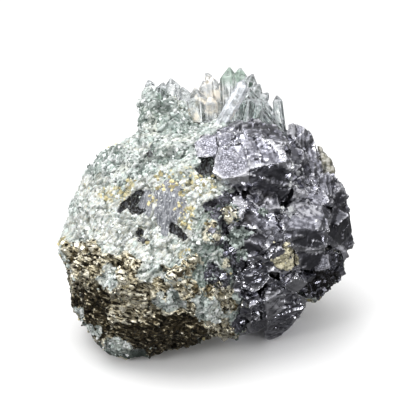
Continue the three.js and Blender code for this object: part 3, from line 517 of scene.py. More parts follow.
# %% The rock's relief
LUMPS = ((7.5 * MM, 1.5 * MM), (3.3 * MM, 1.1 * MM), (1.7 * MM, 0.5 * MM))
LUMP_MIDDLE = 0.6
CREASE = 4.2 * MM
CREASE_DEPTH = 0.7 * MM
SUGAR = 1.3 * MM
FINE_SUGAR = 0.8 * MM
FINE_SUGAR_RISE = 0.17 * MM
SUGAR_SINK = 0.15 * MM
CRYSTAL = 2.9 * MM
SMALL_CRYSTAL = CRYSTAL / 2.4
CRYSTAL_SINK = 0.5 * MM
PIT_DEPTH = 1.7 * MM
PIT_GRAIN = 1.4 * MM
LEAD_SINK = 0.4 * MM
FLAT_REST = 0.25 * MM
BRASS_RUN = -32
PALE_RUN = 52
LUMP_STRETCH = 1.6
SUGAR_STRETCH = 1.7
CRYSTAL_STRETCH = 1.5
SMALL_CRYSTAL_STRETCH = 1.8

folded = drawn(skin, PALE_RUN, LUMP_STRETCH)
lumps = sum(height * (ridges(folded, size, 1) - LUMP_MIDDLE) for size, height in LUMPS)
crease = smooth(0.14, 0.0, abs(swell(skin, CREASE, 6) + 0.3 * swell(skin, CREASE / 3, 7)))
streaked = drawn(skin, PALE_RUN, SUGAR_STRETCH)
sugar_rise, sugar, sugar_name = facets(streaked, SUGAR, 2)
fine_sugar, _, fine_name = grains(streaked, FINE_SUGAR, 3)
run_on = drawn(skin, BRASS_RUN, CRYSTAL_STRETCH)
crystal, crystal_edge, _ = facets(run_on, CRYSTAL, 4)
run_on = drawn(skin, BRASS_RUN, SMALL_CRYSTAL_STRETCH)
small_crystal, _, _ = facets(run_on, SMALL_CRYSTAL, 5)

sugary = 0.55 * sugar_rise - SUGAR_SINK + FINE_SUGAR_RISE * np.minimum(fine_sugar, 0.5)
sugary -= CREASE_DEPTH * crease
crystalline = crystal * 0.7 + small_crystal * 0.8 - CRYSTAL_SINK
even = 1 - 0.85 * minerals["grey"]
angular = np.maximum(minerals["brass"], minerals["lead"])
rise = lumps * even * (1 - 0.4 * angular)
rise += np.where(angular > 0.5, crystalline, sugary) * even
rise -= LEAD_SINK * minerals["lead"]
rise -= PIT_DEPTH * pit * (1 - 0.4 * ridges(skin, PIT_GRAIN, 8))
rise *= smooth(0, 1, skin[:, 2] / FLAT_REST)
move_corners(rock.data, skin + outward * rise[:, None])
print("relief from", round(rise.min() / MM, 2), "to", round(rise.max() / MM, 2), "mm")

# %% [markdown]
# Painted shade makes the rock darkest in its creases, in the gaps between its grains and in its
# valleys, and tufts of dark needles grow in it too. Crests of single grains get a painted white
# highlight, and those of whole lumps less so.

# %% Crests and hollows of the rock
ROCK_ROUNDS = (10, 80)

bulges = [bulge(rock.data, rounds) for rounds in ROCK_ROUNDS]
valley = standing(bulges, (-0.08, -0.35, 1), (-0.3, -1.2, 1))
crest = standing(bulges, (0.04, 0.25, 1), (0.3, 1.0, 0.6))
gaps = smooth(0.22, 0.02, sugar) * 0.5 + smooth(0.2, 0.02, fine_sugar) * 0.3
gaps = np.where(angular > 0.5, smooth(0.12, 0.0, crystal_edge) * 0.8, gaps)
# The hollow mask is painted shade in creases, grain gaps and valleys, plus the dark tufts.
hollow = np.maximum(gaps, crease * (1 - angular) * 0.8)
hollow = np.maximum(hollow, valley * 0.8)
hollow = np.maximum(hollow, rock_ground.mineral(TUFT_OVALS) * 0.75)
keep(rock.data, hollow=hollow, crest=crest, **minerals)
keep(rock.data, grain=lot(sugar_name, 90), speck=lot(fine_name, 91))
print("hollow", round(hollow.mean(), 2), "and crest", round(crest.mean(), 2), "on average")

# %% [markdown]
# Galena splits along three square directions, so its broken faces are flights of tiny
# right-angled steps. The fine skin rounds the crystals' edges, so each corner is first put back
# on the nearest face of the CAD solid. That face is remembered: its steps run parallel to it,
# and two directions at right angles on it give them their grid. Patches say where the metal is
# calm, shattered, dull, whitened, or lost under a mossy border. The dull patches are partly
# tarnish and partly painted shade on undersides and shaded faces, and the whitened ones are
# partly frost and partly painted highlight.

# %% Where the galena changes
GALENA_RAGGEDNESS = 0.6
CLEAVAGE_GRAIN = np.array((0.55, -0.35, 0.76))
CALM_BEHIND = 0.3
CALM_OVALS = [
    (6.8, 11.7, 5.2, 4.6, -20), (34.4, -18.6, 4.4, 7.6, 0), (-0.1, 16.7, 3.7, 3.5, 0),
    (13.9, -31.4, 3.5, 2.5, 0),
]
SHATTERED_OVALS = [
    (13.7, -8.2, 8.2, 11.5, 0), (15, 16.7, 7.4, 5.2, 0), (12, -22.7, 4.4, 7.9, 0),
    (29.5, 12.4, 8.2, 11.6, 0), (14.2, 21.8, 11.5, 3.8, 0), (7.9, 4.4, 6.8, 3.8, 0),
]
# These dull patches are partly tarnish and partly painted shade on undersides and shaded faces.
TARNISHED_OVALS = [
    (34.7, -18.3, 4.6, 7.9, 0), (18.8, 4.9, 5.2, 6, 0), (35.8, -1.1, 3.5, 8.7, 0),
    (28.7, -14.2, 6.3, 3.3, 0), (7.9, 4.4, 6.8, 2.7, 0), (14.2, 22.4, 9.8, 2.2, -8),
    (26.8, -9, 5.5, 3, -20), (23.5, 10.4, 2.7, 9.3, -6), (14.7, -8.5, 6, 3.5, 0),
]
# These whitened patches are partly frost and partly painted highlight on bright edges and tops.
FROSTED_OVALS = [
    (26.2, -0.1, 5.5, 2, -10), (25, 3, 2, 1.1, 0), (28, -11.7, 4.8, 0.8, 0), (16.7, 1.2, 1.9, 2.3, 0),
    (36.4, -11.6, 1.2, 1.2, 0), (20.7, -16.7, 4.4, 1.9, 0), (12, -21.6, 2.7, 1.4, 0),
    (18.8, -26.2, 3.5, 3.8, -20),
]
BORDER_OVALS = [
    (6.3, -1.1, 2.5, 2.2, 0), (8.2, -7.1, 2.7, 3.3, -60), (6.8, -13.1, 1.9, 1.6, 0),
    (6.3, -24.3, 1.9, 1.9, 0), (6.8, -33.6, 1.9, 1.4, 0), (15, -0.5, 1.4, 1.1, 0),
    (10.1, -11.5, 1.4, 1.1, 0),
]


def nearest_faces(node, points):
    """For each point, its place on the CAD node's skin and the direction of that face."""
    tree = BVHTree.FromObject(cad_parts[node], bpy.context.evaluated_depsgraph_get())
    found = [tree.find_nearest(Vector(point)) for point in points]
    places = np.array([hit[0] for hit in found])
    directions = np.array([hit[1] for hit in found])
    return places, directions


skin, face = nearest_faces("galena_crust", read_corners(galena.data))
galena_ground = Ground(skin, read_corners(galena.data, "normal"), GALENA_RAGGEDNESS)
calm = galena_ground.mineral(CALM_OVALS, CALM_BEHIND)
shattered = galena_ground.mineral(SHATTERED_OVALS, behind(skin, 11, 121, 0.1, 0.5))
tarnish = galena_ground.mineral(TARNISHED_OVALS, behind(skin, 13, 131, 0.0, 0.6))
frosted = galena_ground.mineral(FROSTED_OVALS)
crusted = galena_ground.mineral(BORDER_OVALS)
along = np.cross(face, CLEAVAGE_GRAIN)
along /= np.linalg.norm(along, axis=1)[:, None]
over = np.cross(face, along)
along_face, over_face = dots(skin, along), dots(skin, over)
print("tarnish covers", round(100 * tarnish.mean()), "percent of the galena")

# %% [markdown]
# The skin is raised and lowered in oblong plateaus, big ones first and small ones on top. A few
# of the small ones are missing altogether and leave square notches. Each plateau also leans by
# a few degrees, and that makes a real piece glint like crumpled foil.

# %% Cleavage plateaus and notches
PLATEAUS = ((5.2 * MM, 0.5 * MM), (2.4 * MM, 0.24 * MM))
OBLONG = 2.0
WANDER = 0.35
WANDER_SIZE = 1.7
PLATEAU_LEAN = 0.17
NOTCHED_SIZE = 3 * MM
NOTCH_SHARE = 0.04
NOTCH_DEPTH = 0.54 * MM
FACE_SPACING = 0.5 * MM

layer = np.round(dots(face, skin) / FACE_SPACING)
busy = 1 - 0.75 * calm + 0.5 * shattered
steps = np.zeros(len(skin))
for size, height in PLATEAUS:
    salt = round(size / MM * 10)
    wander = WANDER * swell(skin, size * WANDER_SIZE, salt)
    row = over_face / size + wander
    shift = lot(np.stack([np.floor(row), layer, layer], axis=1), salt)
    column = along_face / (size * OBLONG) + shift + wander
    cell = np.stack([np.floor(row), np.floor(column), layer], axis=1)
    lean_row = (lot(cell, salt + 1) - 0.5) * (row - np.floor(row) - 0.5)
    lean_column = (lot(cell, salt + 2) - 0.5) * (column - np.floor(column) - 0.5)
    plateau = lot(cell, salt + 3) - 0.5
    notch = (lot(cell, salt + 4) < NOTCH_SHARE) * (size < NOTCHED_SIZE)
    steps += (height * plateau - NOTCH_DEPTH * notch) * busy
    steps += size * PLATEAU_LEAN * (lean_row + lean_column * OBLONG) * (0.55 + 0.8 * shattered)
print("plateaus from", round(steps.min() / MM, 2), "to", round(steps.max() / MM, 2), "mm")

# %% [markdown]
# Long ledges cross the plateaus, where a split wandered from one layer to the next. They run one
# way over most of the crust, and in rings round the big crystal on its crown.

# %% Flowing ledges
FLOWS = ((5.0 * MM, 0.8 * MM), (2.3 * MM, 0.4 * MM))
FLOW_RUN = 38
FLOW_STRETCH = 4.5
LEDGE_RISE = 0.42 * MM
LEDGE_SHARE = 0.8
CROWN = (11.0, 5.5)
CROWN_REACH = 13.0
CROWN_BORDER = 1.0
CROWN_STRENGTH = 1.5
SHARP_STEP = math.radians(32)

straight = drawn(skin, FLOW_RUN, FLOW_STRETCH)
crown_way = on_show_side(skin) - CROWN
crown_out = np.hypot(*crown_way.T)
crown_turn = np.arctan2(crown_way[:, 1], crown_way[:, 0]) * CROWN_REACH / FLOW_STRETCH
depth = (skin - np.array(SHOW_MIDDLE)) @ np.array(TOWARD)
ringed = np.stack([crown_turn * MM, crown_out * MM, depth], axis=1)
on_crown = smooth(CROWN_REACH + CROWN_BORDER, CROWN_REACH - CROWN_BORDER, crown_out)
flow = np.zeros(len(skin))
for size, height in FLOWS:
    rings = swell(ringed, size, 152) * on_crown * CROWN_STRENGTH
    flow += height * (swell(straight, size, 151) * (1 - on_crown) + rings)
flow = terraces(flow, LEDGE_RISE) * LEDGE_SHARE + flow * (1 - LEDGE_SHARE)
steps += flow * (0.55 + 0.45 * shattered) * (1 - 0.9 * calm)
steps *= smooth(0, 1, skin[:, 2] / FLAT_REST)
move_corners(galena.data, skin + face * steps[:, None])
galena.data.shade_smooth()
galena.data.set_sharp_from_angle(angle=SHARP_STEP)
print("steps from", round(steps.min() / MM, 2), "to", round(steps.max() / MM, 2), "mm")

# %% [markdown]
# The crystals' edges get a painted bright highlight and the corners between them painted black
# shade, so crests and valleys are stored for the finish, with the patches. The two places along
# and over each face are stored too, so that fine lines in the finish can follow the cleavage.

# %% Masks of the galena
GALENA_ROUNDS = (8, 200)

bulges = [bulge(galena.data, rounds) for rounds in GALENA_ROUNDS]
crest = standing(bulges, (0.1, 0.26, 1), (0.6, 1.2, 0.7))
valley = standing(bulges, (-0.1, -0.3, 0.7), (-0.3, -1.2, 1))
keep(galena.data, tarnish=tarnish, calm=calm, frosted=frosted, crusted=crusted)
keep(galena.data, crest=crest, valley=valley)
keep(galena.data, along=along_face - along_face.min(), over=over_face - over_face.min())
print("crest", round(crest.mean(), 2), "and valley", round(valley.mean(), 2), "on average")

# %% [markdown]
# Small crystals sit all over the specimen. Each kind starts from one small closed form, made as
# the tightest hull round a few points: pyrite's twelve-sided pyritohedron, a cube, the leaning
# rhomb of the carbonates, and the six-sided flake of chlorite.

# %% Forms of the small crystals
PYRITE_CORNER = 0.78
PYRITE_STEP = 0.62
PYRITE_REACH = 1.05
FLAT_ENOUGH = 0.02


def hull(points):
    """The corners and faces of the tightest closed form round some points."""
    bm = bmesh.new()
    for point in points:
        bm.verts.new(point)
    bmesh.ops.convex_hull(bm, input=bm.verts)
    bmesh.ops.dissolve_limit(bm, angle_limit=FLAT_ENOUGH, verts=bm.verts, edges=bm.edges)
    bm.verts.index_update()
    corners = np.array([vertex.co for vertex in bm.verts])
    faces = [[vertex.index for vertex in polygon.verts] for polygon in bm.faces]
    bm.free()
    return corners, faces


def signs(*sizes):
    """All the corners that the given half sizes reach with plus and minus signs."""
    return [tuple(s * (1 if bit else -1) for s, bit in zip(sizes, bits))
            for bits in np.ndindex(2, 2, 2)]


pyrite_points = signs(PYRITE_CORNER, PYRITE_CORNER, PYRITE_CORNER)
for s in (-1, 1):
    for t in (-1, 1):
        pyrite_points.append((0, s * PYRITE_STEP, t * PYRITE_REACH))
        pyrite_points.append((s * PYRITE_REACH, 0, t * PYRITE_STEP))
        pyrite_points.append((s * PYRITE_STEP, t * PYRITE_REACH, 0))
pyritohedron = hull(pyrite_points)
cube = hull(signs(1, 0.9, 0.8))
rhomb = hull([(x + 0.35 * y, y + 0.3 * z, z) for x, y, z in signs(0.9, 0.8, 0.75)])
flake = hull([
    (math.cos(turn) * reach, math.sin(turn) * reach, z)
    for turn in np.arange(6) * math.tau / 6
    for z, reach in ((0.12, 0.9), (-0.12, 1.0))
])
print("a pyritohedron has", len(pyritohedron[1]), "faces")

# %% [markdown]
# A form is copied hundreds of times at random turns and sizes. Instances would be the usual
# way, but the copies are joined into one mesh, because each kind is one piece of the specimen.
# Every crystal is sunk by part of its depth, so that it grows out of the ground under it.

# %% Strewing
LOWEST_CRYSTAL = 3 * MM
SMALLNESS = 2


def random_turns(rng, count):
    """Evenly spread random rotations, as matrices."""
    q = rng.normal(size=(count, 4))
    w, x, y, z = (q / np.linalg.norm(q, axis=1)[:, None]).T
    return np.moveaxis(np.array([
        [1 - 2 * (y * y + z * z), 2 * (x * y - z * w), 2 * (x * z + y * w)],
        [2 * (x * y + z * w), 1 - 2 * (x * x + z * z), 2 * (y * z - x * w)],
        [2 * (x * z - y * w), 2 * (y * z + x * w), 1 - 2 * (x * x + y * y)],
    ]), 2, 0)


def strewn(ground, name, form, where, count, sizes, sunk, seed):
    """Many copies of a small crystal grown out of a piece where a mask allows, as one piece.
    Sizes are the least and most half widths in millimetres, and sunk is how deep the middle
    lies, as a share of the half width."""
    rng = np.random.default_rng(seed)
    points = read_corners(ground.data)
    outward = read_corners(ground.data, "normal")
    above = where * (points[:, 2] > LOWEST_CRYSTAL)
    chosen = rng.choice(len(points), count, p=above / above.sum())
    least, most = (size * MM for size in sizes)
    half = least + (most - least) * rng.random(count) ** SMALLNESS
    corners, faces = form
    turned = np.einsum("nij,kj->nki", random_turns(rng, count), corners)
    middles = points[chosen] - outward[chosen] * (half * sunk)[:, None]
    places = turned * half[:, None, None] + middles[:, None, :]
    mesh = bpy.data.meshes.new(name)
    all_faces = [[i + k * len(corners) for i in f] for k in range(count) for f in faces]
    mesh.from_pydata(places.reshape(-1, 3).tolist(), [], all_faces)
    keep(mesh, tone=np.repeat(rng.random(count), len(corners)))
    return new_piece(name, mesh)


print("half of the crystals are in the lowest", 0.5**SMALLNESS, "of their range of sizes")

# %% [markdown]
# On the rock, bright pyrite sits where the belt is clean and a dull sort where it is black.
# Pale rhombs cover what is bare, chlorite flakes the green hollows, and brassy cream knots have
# patches of their own.

# %% Where small crystals grow on the rock
KNOT_SIZE = 1.6 * MM
KNOT_OVALS = [
    (5.9, -2.2, 1.8, 2.2, 0), (1, -7.8, 2.3, 1.5, 0), (8.2, -12.3, 1.1, 1.4, 0),
    (4.9, -14.9, 0.8, 1.2, 0), (-2.3, -9.1, 1.2, 1.2, 0), (-2.9, -15, 1, 1.4, 0),
    (4.9, -22.4, 1.1, 1.1, 0),
]

brass, black, green, yellow, grey, lead = (
    kept(rock.data, name) for name in ("brass", "black", "green", "yellow", "grey", "lead"))
lit_brass = np.clip(brass - black * 1.2, 0, 1) ** 2 + 0.0002
dull_brass = brass * black + 0.001
bare = np.clip(1 - brass - grey - lead - black - 0.7 * green, 0.01, 1)
skin = read_corners(rock.data)
knots = patches(on_show_side(skin), KNOT_OVALS) * front(read_corners(rock.data, "normal"))
knots *= smooth(-0.3, 0.1, swell(skin, KNOT_SIZE, 181))
print("bare rock covers", round(100 * float(bare.mean())), "percent")

# %% [markdown]
# On the galena, splinters stand where it is shattered. A pale druse and a yellow crust grow in
# two of its corners, and flakes of chlorite hide its border with the rock.

# %% Where small crystals grow on the galena
CRUST_RAGGEDNESS = 0.5
CRUST_SIZE = 1.7 * MM
CRUST_OVALS = [(19.4, -11.2, 2.5, 1.9, 0), (20.7, -14.7, 3.3, 2.2, 0)]
DRUSE_OVALS = [(23.9, 9.6, 1.8, 4.1, -8), (21.8, -0.8, 2.2, 1.4, 0)]

splintered = shattered * (1 - calm) + 0.01
shown = on_show_side(read_corners(galena.data))
druse = patches(shown, DRUSE_OVALS) * galena_ground.front
crust = patches(shown + galena_ground.strayed * CRUST_RAGGEDNESS, CRUST_OVALS)
crust *= galena_ground.front * smooth(-0.05, 0.2, swell(galena_ground.points, CRUST_SIZE, 171))
print("shattered metal covers", round(100 * splintered.mean()), "percent")

# %% [markdown]
# Each row gives the skin that a kind grows on, its name, its form, its mask, how many there are,
# their least and most half width in millimetres, how deep they are sunk, and a seed. A trace is
# added to a mask that is 0 over most of the skin, so that there is always somewhere to grow.

# %% Strew the small crystals
TRACE = 1e-6
KINDS = (
    (rock, "pyrite_grains", pyritohedron, lit_brass, 750, (0.2, 0.9), 0.5, 1),
    (rock, "tarnished_grains", cube, dull_brass, 400, (0.15, 0.6), 0.5, 2),
    (rock, "pale_rhombs", rhomb, bare, 2600, (0.16, 0.5), 0.3, 3),
    (rock, "chlorite_flakes", flake, green + 0.04, 2600, (0.2, 0.65), 0.1, 4),
    (rock, "yellow_grains", rhomb, yellow + 0.002, 500, (0.2, 0.6), 0.3, 5),
    (galena, "galena_splinters", cube, splintered, 260, (0.3, 1.1), 0.55, 6),
    (rock, "lead_grains", cube, lead + 0.001, 420, (0.3, 1.3), 0.5, 7),
    (rock, "cream_knots", rhomb, knots + TRACE, 200, (0.25, 0.8), 0.2, 11),
    (galena, "pale_druse", rhomb, druse + TRACE, 120, (0.3, 0.9), 0.3, 9),
    (galena, "border_flakes", rhomb, crusted + TRACE, 300, (0.2, 0.6), 0.3, 10),
    (galena, "yellow_crust", rhomb, crust + TRACE, 900, (0.2, 0.6), 0.2, 8),
)

small_crystals = {kind[1]: strewn(*kind) for kind in KINDS}
on_rock = [small_crystals[kind[1]] for kind in KINDS if kind[0] is rock]
on_galena = [small_crystals[kind[1]] for kind in KINDS if kind[0] is galena]
print(len(on_rock), "kinds grow on the rock and", len(on_galena), "on the galena")

# %% [markdown]
# Shader maths reads best as plain arithmetic. A small class wraps one output of a node, and
# adding or multiplying two of them adds the Math node that does it. A second class stands for
# a node tree being made. It adds any other node, sets its settings first, and then fills its
# sockets with numbers or links.

# %% Shader arithmetic
class Value:
    """An output of a shader node, on which arithmetic adds Math nodes."""

    def __init__(self, nodes, socket):
        self.nodes = nodes
        self.socket = socket

    def maths(self, operation, first, second):
        """The result of a Math node on two numbers or values."""
        return self.nodes.add("ShaderNodeMath", {"operation": operation}, {0: first, 1: second})

    def __add__(self, other):
        return self.maths("ADD", self, other)

    def __sub__(self, other):
        return self.maths("SUBTRACT", self, other)

    def __rsub__(self, other):
        return self.maths("SUBTRACT", other, self)

    def __mul__(self, other):
        return self.maths("MULTIPLY", self, other)

    __radd__ = __add__
    __rmul__ = __mul__

    def over(self, low, high, least=0.0, most=1.0):
        """The least below low, the most above high, and a smooth ease between."""
        values = {"Value": self, "From Min": low, "From Max": high, "To Min": least, "To Max": most}
        return self.nodes.add("ShaderNodeMapRange", {"interpolation_type": "SMOOTHSTEP"}, values)


class Nodes:
    """A node tree while it is being made."""

    def __init__(self, tree):
        self.tree = tree

    def add(self, kind, settings, values, output=0):
        """A new node's output, once its settings and its sockets are filled."""
        node = self.tree.nodes.new(kind)
        for name, setting in settings.items():
            setattr(node, name, setting)
        for name, value in values.items():
            self.fill(node.inputs[name], value)
        return Value(self, node.outputs[output]) if node.outputs else None

    def fill(self, socket, value):
        """Links a value to a socket, or sets the socket to a number, a direction or a colour."""
        if isinstance(value, Value):
            self.tree.links.new(value.socket, socket)
        elif isinstance(value, tuple) and len(socket.default_value) == 4:
            socket.default_value = (*value, 1)
        else:
            socket.default_value = value


print("made", Value.__name__, "and", Nodes.__name__)

# %% [markdown]
# A finish is the node tree of a material. Its methods are the few things that every mineral
# here is made from: masks from the mesh, clouds and packed cells of noise, patterns drawn out
# along one way, and one colour going over to another.

# %% Finishes
WHITE = (1.0, 1.0, 1.0)


class Finish(Nodes):
    """A material while it is being made."""

    def __init__(self, name):
        self.material = bpy.data.materials.new(name)
        self.material.use_nodes = True
        super().__init__(self.material.node_tree)
        self.tree.nodes.clear()

    def mask(self, name):
        """A mask stored on the mesh."""
        return self.add("ShaderNodeAttribute", {"attribute_name": name}, {}, "Fac")

    def place(self):
        """The point being shaded, in metres."""
        return self.add("ShaderNodeTexCoord", {}, {}, "Object")

    def clouds(self, size, detail=3.0, place=None):
        """Noise about size across, from 0 to 1."""
        values = {"Vector": place or self.place(), "Scale": 1 / size, "Detail": detail}
        return self.add("ShaderNodeTexNoise", {}, values, "Fac")

    def cells(self, size, output="Distance"):
        """Packed cells about size across."""
        values = {"Vector": self.place(), "Scale": 1 / size}
        return self.add("ShaderNodeTexVoronoi", {}, values, output)

    def tone(self, size):
        """A flat random tone for each packed cell, from 0 to 1."""
        colour = self.cells(size, "Color")
        return self.add("ShaderNodeSeparateColor", {}, {"Color": colour}, "Red")

    def drawn_out(self, way, stretch):
        """The shaded point with everything along one way drawn out."""
        place = self.place()
        along = self.add("ShaderNodeVectorMath", {"operation": "DOT_PRODUCT"},
                         {0: place, 1: way}, "Value")
        pulled = self.add("ShaderNodeVectorMath", {"operation": "SCALE"},
                          {0: way, "Scale": along * (1 / stretch - 1)})
        return self.add("ShaderNodeVectorMath", {"operation": "ADD"}, {0: place, 1: pulled})

    def blend(self, factor, first, second):
        """One colour going over to another."""
        settings = {"data_type": "RGBA", "clamp_factor": True}
        return self.add("ShaderNodeMix", settings, {0: factor, 6: first, 7: second}, 2)

    def bump(self, height, depth):
        """A normal tilted by small relief of the given depth."""
        values = {"Height": height, "Distance": depth, "Strength": 1.0}
        return self.add("ShaderNodeBump", {}, values)

    def surface(self, **values):
        """A Principled surface; underscores in the names stand for spaces."""
        values = {name.replace("_", " "): value for name, value in values.items()}
        return self.add("ShaderNodeBsdfPrincipled", {}, values)

    def done(self, **parts):
        """Links the surface, and any volume, to the output, and gives the finished material."""
        self.add("ShaderNodeOutputMaterial", {}, parts)
        return self.material


def coat(piece, material):
    """Gives a piece one material, in place of any that it had."""
    piece.data.materials.clear()
    piece.data.materials.append(material)


def paint(red, green, blue):
    """A colour from screen numbers up to 255, made linear."""
    return tuple(((part / 255 + 0.055) / 1.055) ** 2.4 for part in (red, green, blue))


print("screen grey 128 is", round(paint(128, 128, 128)[0], 2), "in linear light")

# %% [markdown]
# Chlorite rock is a felt of tiny pale green flakes with white grains, dark green where it is
# hollow, partly its own colour and partly painted shade. Its tone changes from grain to grain,
# so it takes flat random tones from packed cells besides smooth noise. Streaks lean through all
# of it. Its crests get a painted white highlight.

# %% Finish: chlorite rock
MINT = paint(212, 223, 218)
GREY_GREEN = paint(176, 192, 186)
DEEP_GREEN = paint(128, 146, 136)
DARK_GREEN = paint(62, 74, 68)
SUGAR_WHITE = paint(246, 248, 248)
CREAM = paint(236, 232, 216)
YELLOW = paint(238, 226, 176)
OLIVE = paint(160, 150, 112)
STREAK_WAY = (0.62, 0.29, 0.73)
STREAK_STRETCH = 7.0
STRIPE_WAY = (0.17, 0.37, 0.91)
STRIPE_STRETCH = 4.0
FLAKE_TONE = 0.55 * MM
FINEST_TONE = 0.3 * MM


class RockFinish(Finish):
    """The rock's own masks and patterns, which all of its minerals share."""

    def __init__(self, name):
        super().__init__(name)
        self.hollow, self.crest = self.mask("hollow"), self.mask("crest")
        self.grey, self.black = self.mask("grey"), self.mask("black")
        self.grain, self.speck = self.mask("grain"), self.mask("speck")
        self.fine, self.finest = self.tone(FLAKE_TONE), self.tone(FINEST_TONE)
        self.drift = self.clouds(6 * MM)
        streaked = self.drawn_out(STREAK_WAY, STREAK_STRETCH)
        self.streaks = self.clouds(0.5 * MM, 2.0, streaked)
        striped = self.drawn_out(STRIPE_WAY, STRIPE_STRETCH)
        self.stripes = self.clouds(0.45 * MM, 5.0, striped)

    def chlorite(self):
        """Pale green flakes with white grains between them."""
        pale = self.streaks.over(0.5, 0.7) + self.drift.over(0.5, 0.6)
        mint = self.blend(self.drift.over(0.35, 0.65), GREY_GREEN, MINT)
        mint = self.blend(pale * 0.4, mint, CREAM)
        mint = self.blend(self.streaks.over(0.42, 0.3) * 0.45, mint, DEEP_GREEN)
        mint = self.blend((self.grain + self.fine + self.finest).over(1.5, 2.3), mint, SUGAR_WHITE)
        return self.blend((self.speck * self.fine).over(0.09, 0.02) * 0.85, mint, DARK_GREEN)

    def spotted(self, stone):
        """Cream and yellow spots on the rock, white crests as painted highlight and dark hollows
        as painted shade.
        """
        cream = self.blend(self.fine.over(0.1, 0.9), CREAM, SUGAR_WHITE)
        stone = self.blend(self.mask("cream") * self.streaks.over(0.3, 0.6) * 0.8, stone, cream)
        stone = self.blend(self.mask("green") * self.fine.over(0.95, 0.3) * 0.8, stone, DEEP_GREEN)
        yellow = self.blend(self.finest.over(0.1, 0.6), OLIVE, YELLOW)
        spots = self.clouds(1.6 * MM, 2.0).over(0.46, 0.56) * self.grain.over(0.1, 0.3)
        stone = self.blend(self.mask("yellow") * spots * 0.85, stone, yellow)
        # A painted white highlight on the crests.
        stone = self.blend(self.crest * 0.35, stone, SUGAR_WHITE)
        pepper = self.cells(1.3 * MM).over(0.2, 0.1)
        # Painted shade in the hollows, with random dark pepper, goes to dark green.
        return self.blend((self.hollow + pepper * 0.35) * 0.9, stone, DARK_GREEN)


print("mint is", [round(part, 2) for part in MINT])

# %% [markdown]
# Some patches of the rock are a grey striped mineral, and others are black. The foot is
# painted darker too, as painted shade where light hardly reaches it near the table.

# %% Finish: grey stripes and black patches
SOOT = paint(34, 31, 26)
STRIPE_DARK = paint(110, 113, 119)
LAVENDER_GREY = paint(168, 170, 176)


def grey_and_black(finish, stone):
    """The rock with its striped and black patches and painted shade near the table, and where
    it is striped.
    """
    striped = finish.blend(finish.stripes.over(0.36, 0.64), STRIPE_DARK, LAVENDER_GREY)
    striped = finish.blend(finish.finest.over(0.86, 0.98) * 0.7, striped, SUGAR_WHITE)
    ragged = (finish.fine - 0.5) * 0.6 + (finish.streaks - 0.5) * 0.8
    is_grey = (finish.grey + ragged).over(0.4, 0.7)
    stone = finish.blend(is_grey, stone, striped)
    coal = finish.blend(finish.stripes.over(0.44, 0.62) * 0.8, SOOT, STRIPE_DARK)
    is_black = (finish.black + (finish.fine - 0.5) * 0.7).over(0.4, 0.7)
    stone = finish.blend(is_black * finish.finest.over(1.0, 0.85), stone, coal)
    # Painted shade: black patches go sooty low down, and all the rock goes dark green near the table.
    height = finish.add("ShaderNodeSeparateXYZ", {}, {"Vector": finish.place()}, "Z")
    stone = finish.blend(is_black * height.over(7 * MM, 4 * MM) * 0.9, stone, SOOT)
    return finish.blend(height.over(10 * MM, 3 * MM) * 0.85, stone, DARK_GREEN), is_grey


print("soot is", [round(part, 3) for part in SOOT])

# %% [markdown]
# Pyrite is metal, so the Metallic socket follows its mask, with a speckled edge. It is gold
# where it is fresh and brown to black where it has tarnished. Short bright and dark strokes that
# run one way are painted glints, its crests get a painted gold highlight, and its hollows get
# painted black shade. The leaden stain is galena in fine grains, with painted shade in its
# hollows.

# %% Finish: the rock's metals
PYRITE = paint(240, 230, 200)
GOLD_LIGHT = paint(250, 245, 226)
BRONZE = paint(96, 86, 62)
BROWN = paint(78, 70, 52)
GALENA = paint(126, 126, 136)
GALENA_DULL = paint(84, 84, 90)
BRASS_WAY = (0.94, -0.13, -0.31)
BRASS_STRETCH = 4.0
ROCK_RELIEF = 0.3 * MM


def pyrite(finish, glint):
    """Gold metal, brown and black where it has tarnished, with painted glints, a painted
    highlight and painted shade.
    """
    dull = finish.black + (finish.fine - 0.5) * 0.5 + (finish.drift - 0.5) * 0.9
    dull = dull.over(0.35, 0.7)
    # Painted glints: bright and dark strokes of the glint noise.
    metal = finish.blend(glint.over(0.44, 0.56), BRONZE, PYRITE)
    metal = finish.blend(glint.over(0.46, 0.38) * 0.9, metal, SOOT)
    murk = finish.blend(glint.over(0.4, 0.5), SOOT, BROWN)
    metal = finish.blend(dull * glint.over(0.66, 0.56), metal, murk)
    # Painted shade in the hollows.
    metal = finish.blend(finish.hollow * 0.9, metal, SOOT)
    # A painted gold highlight on the crests.
    fresh = finish.crest * (1.0 - dull) * glint.over(0.4, 0.5)
    return finish.blend(fresh, metal, GOLD_LIGHT)


def leaden(finish):
    """Fine-grained galena, with painted black shade in its hollows."""
    metal = finish.blend(finish.finest.over(0.2, 0.8), GALENA_DULL, GALENA)
    metal = finish.blend(finish.black * finish.finest.over(1.0, 0.8) * 0.85, metal, SOOT)
    return finish.blend(finish.hollow * 0.8, metal, SOOT)


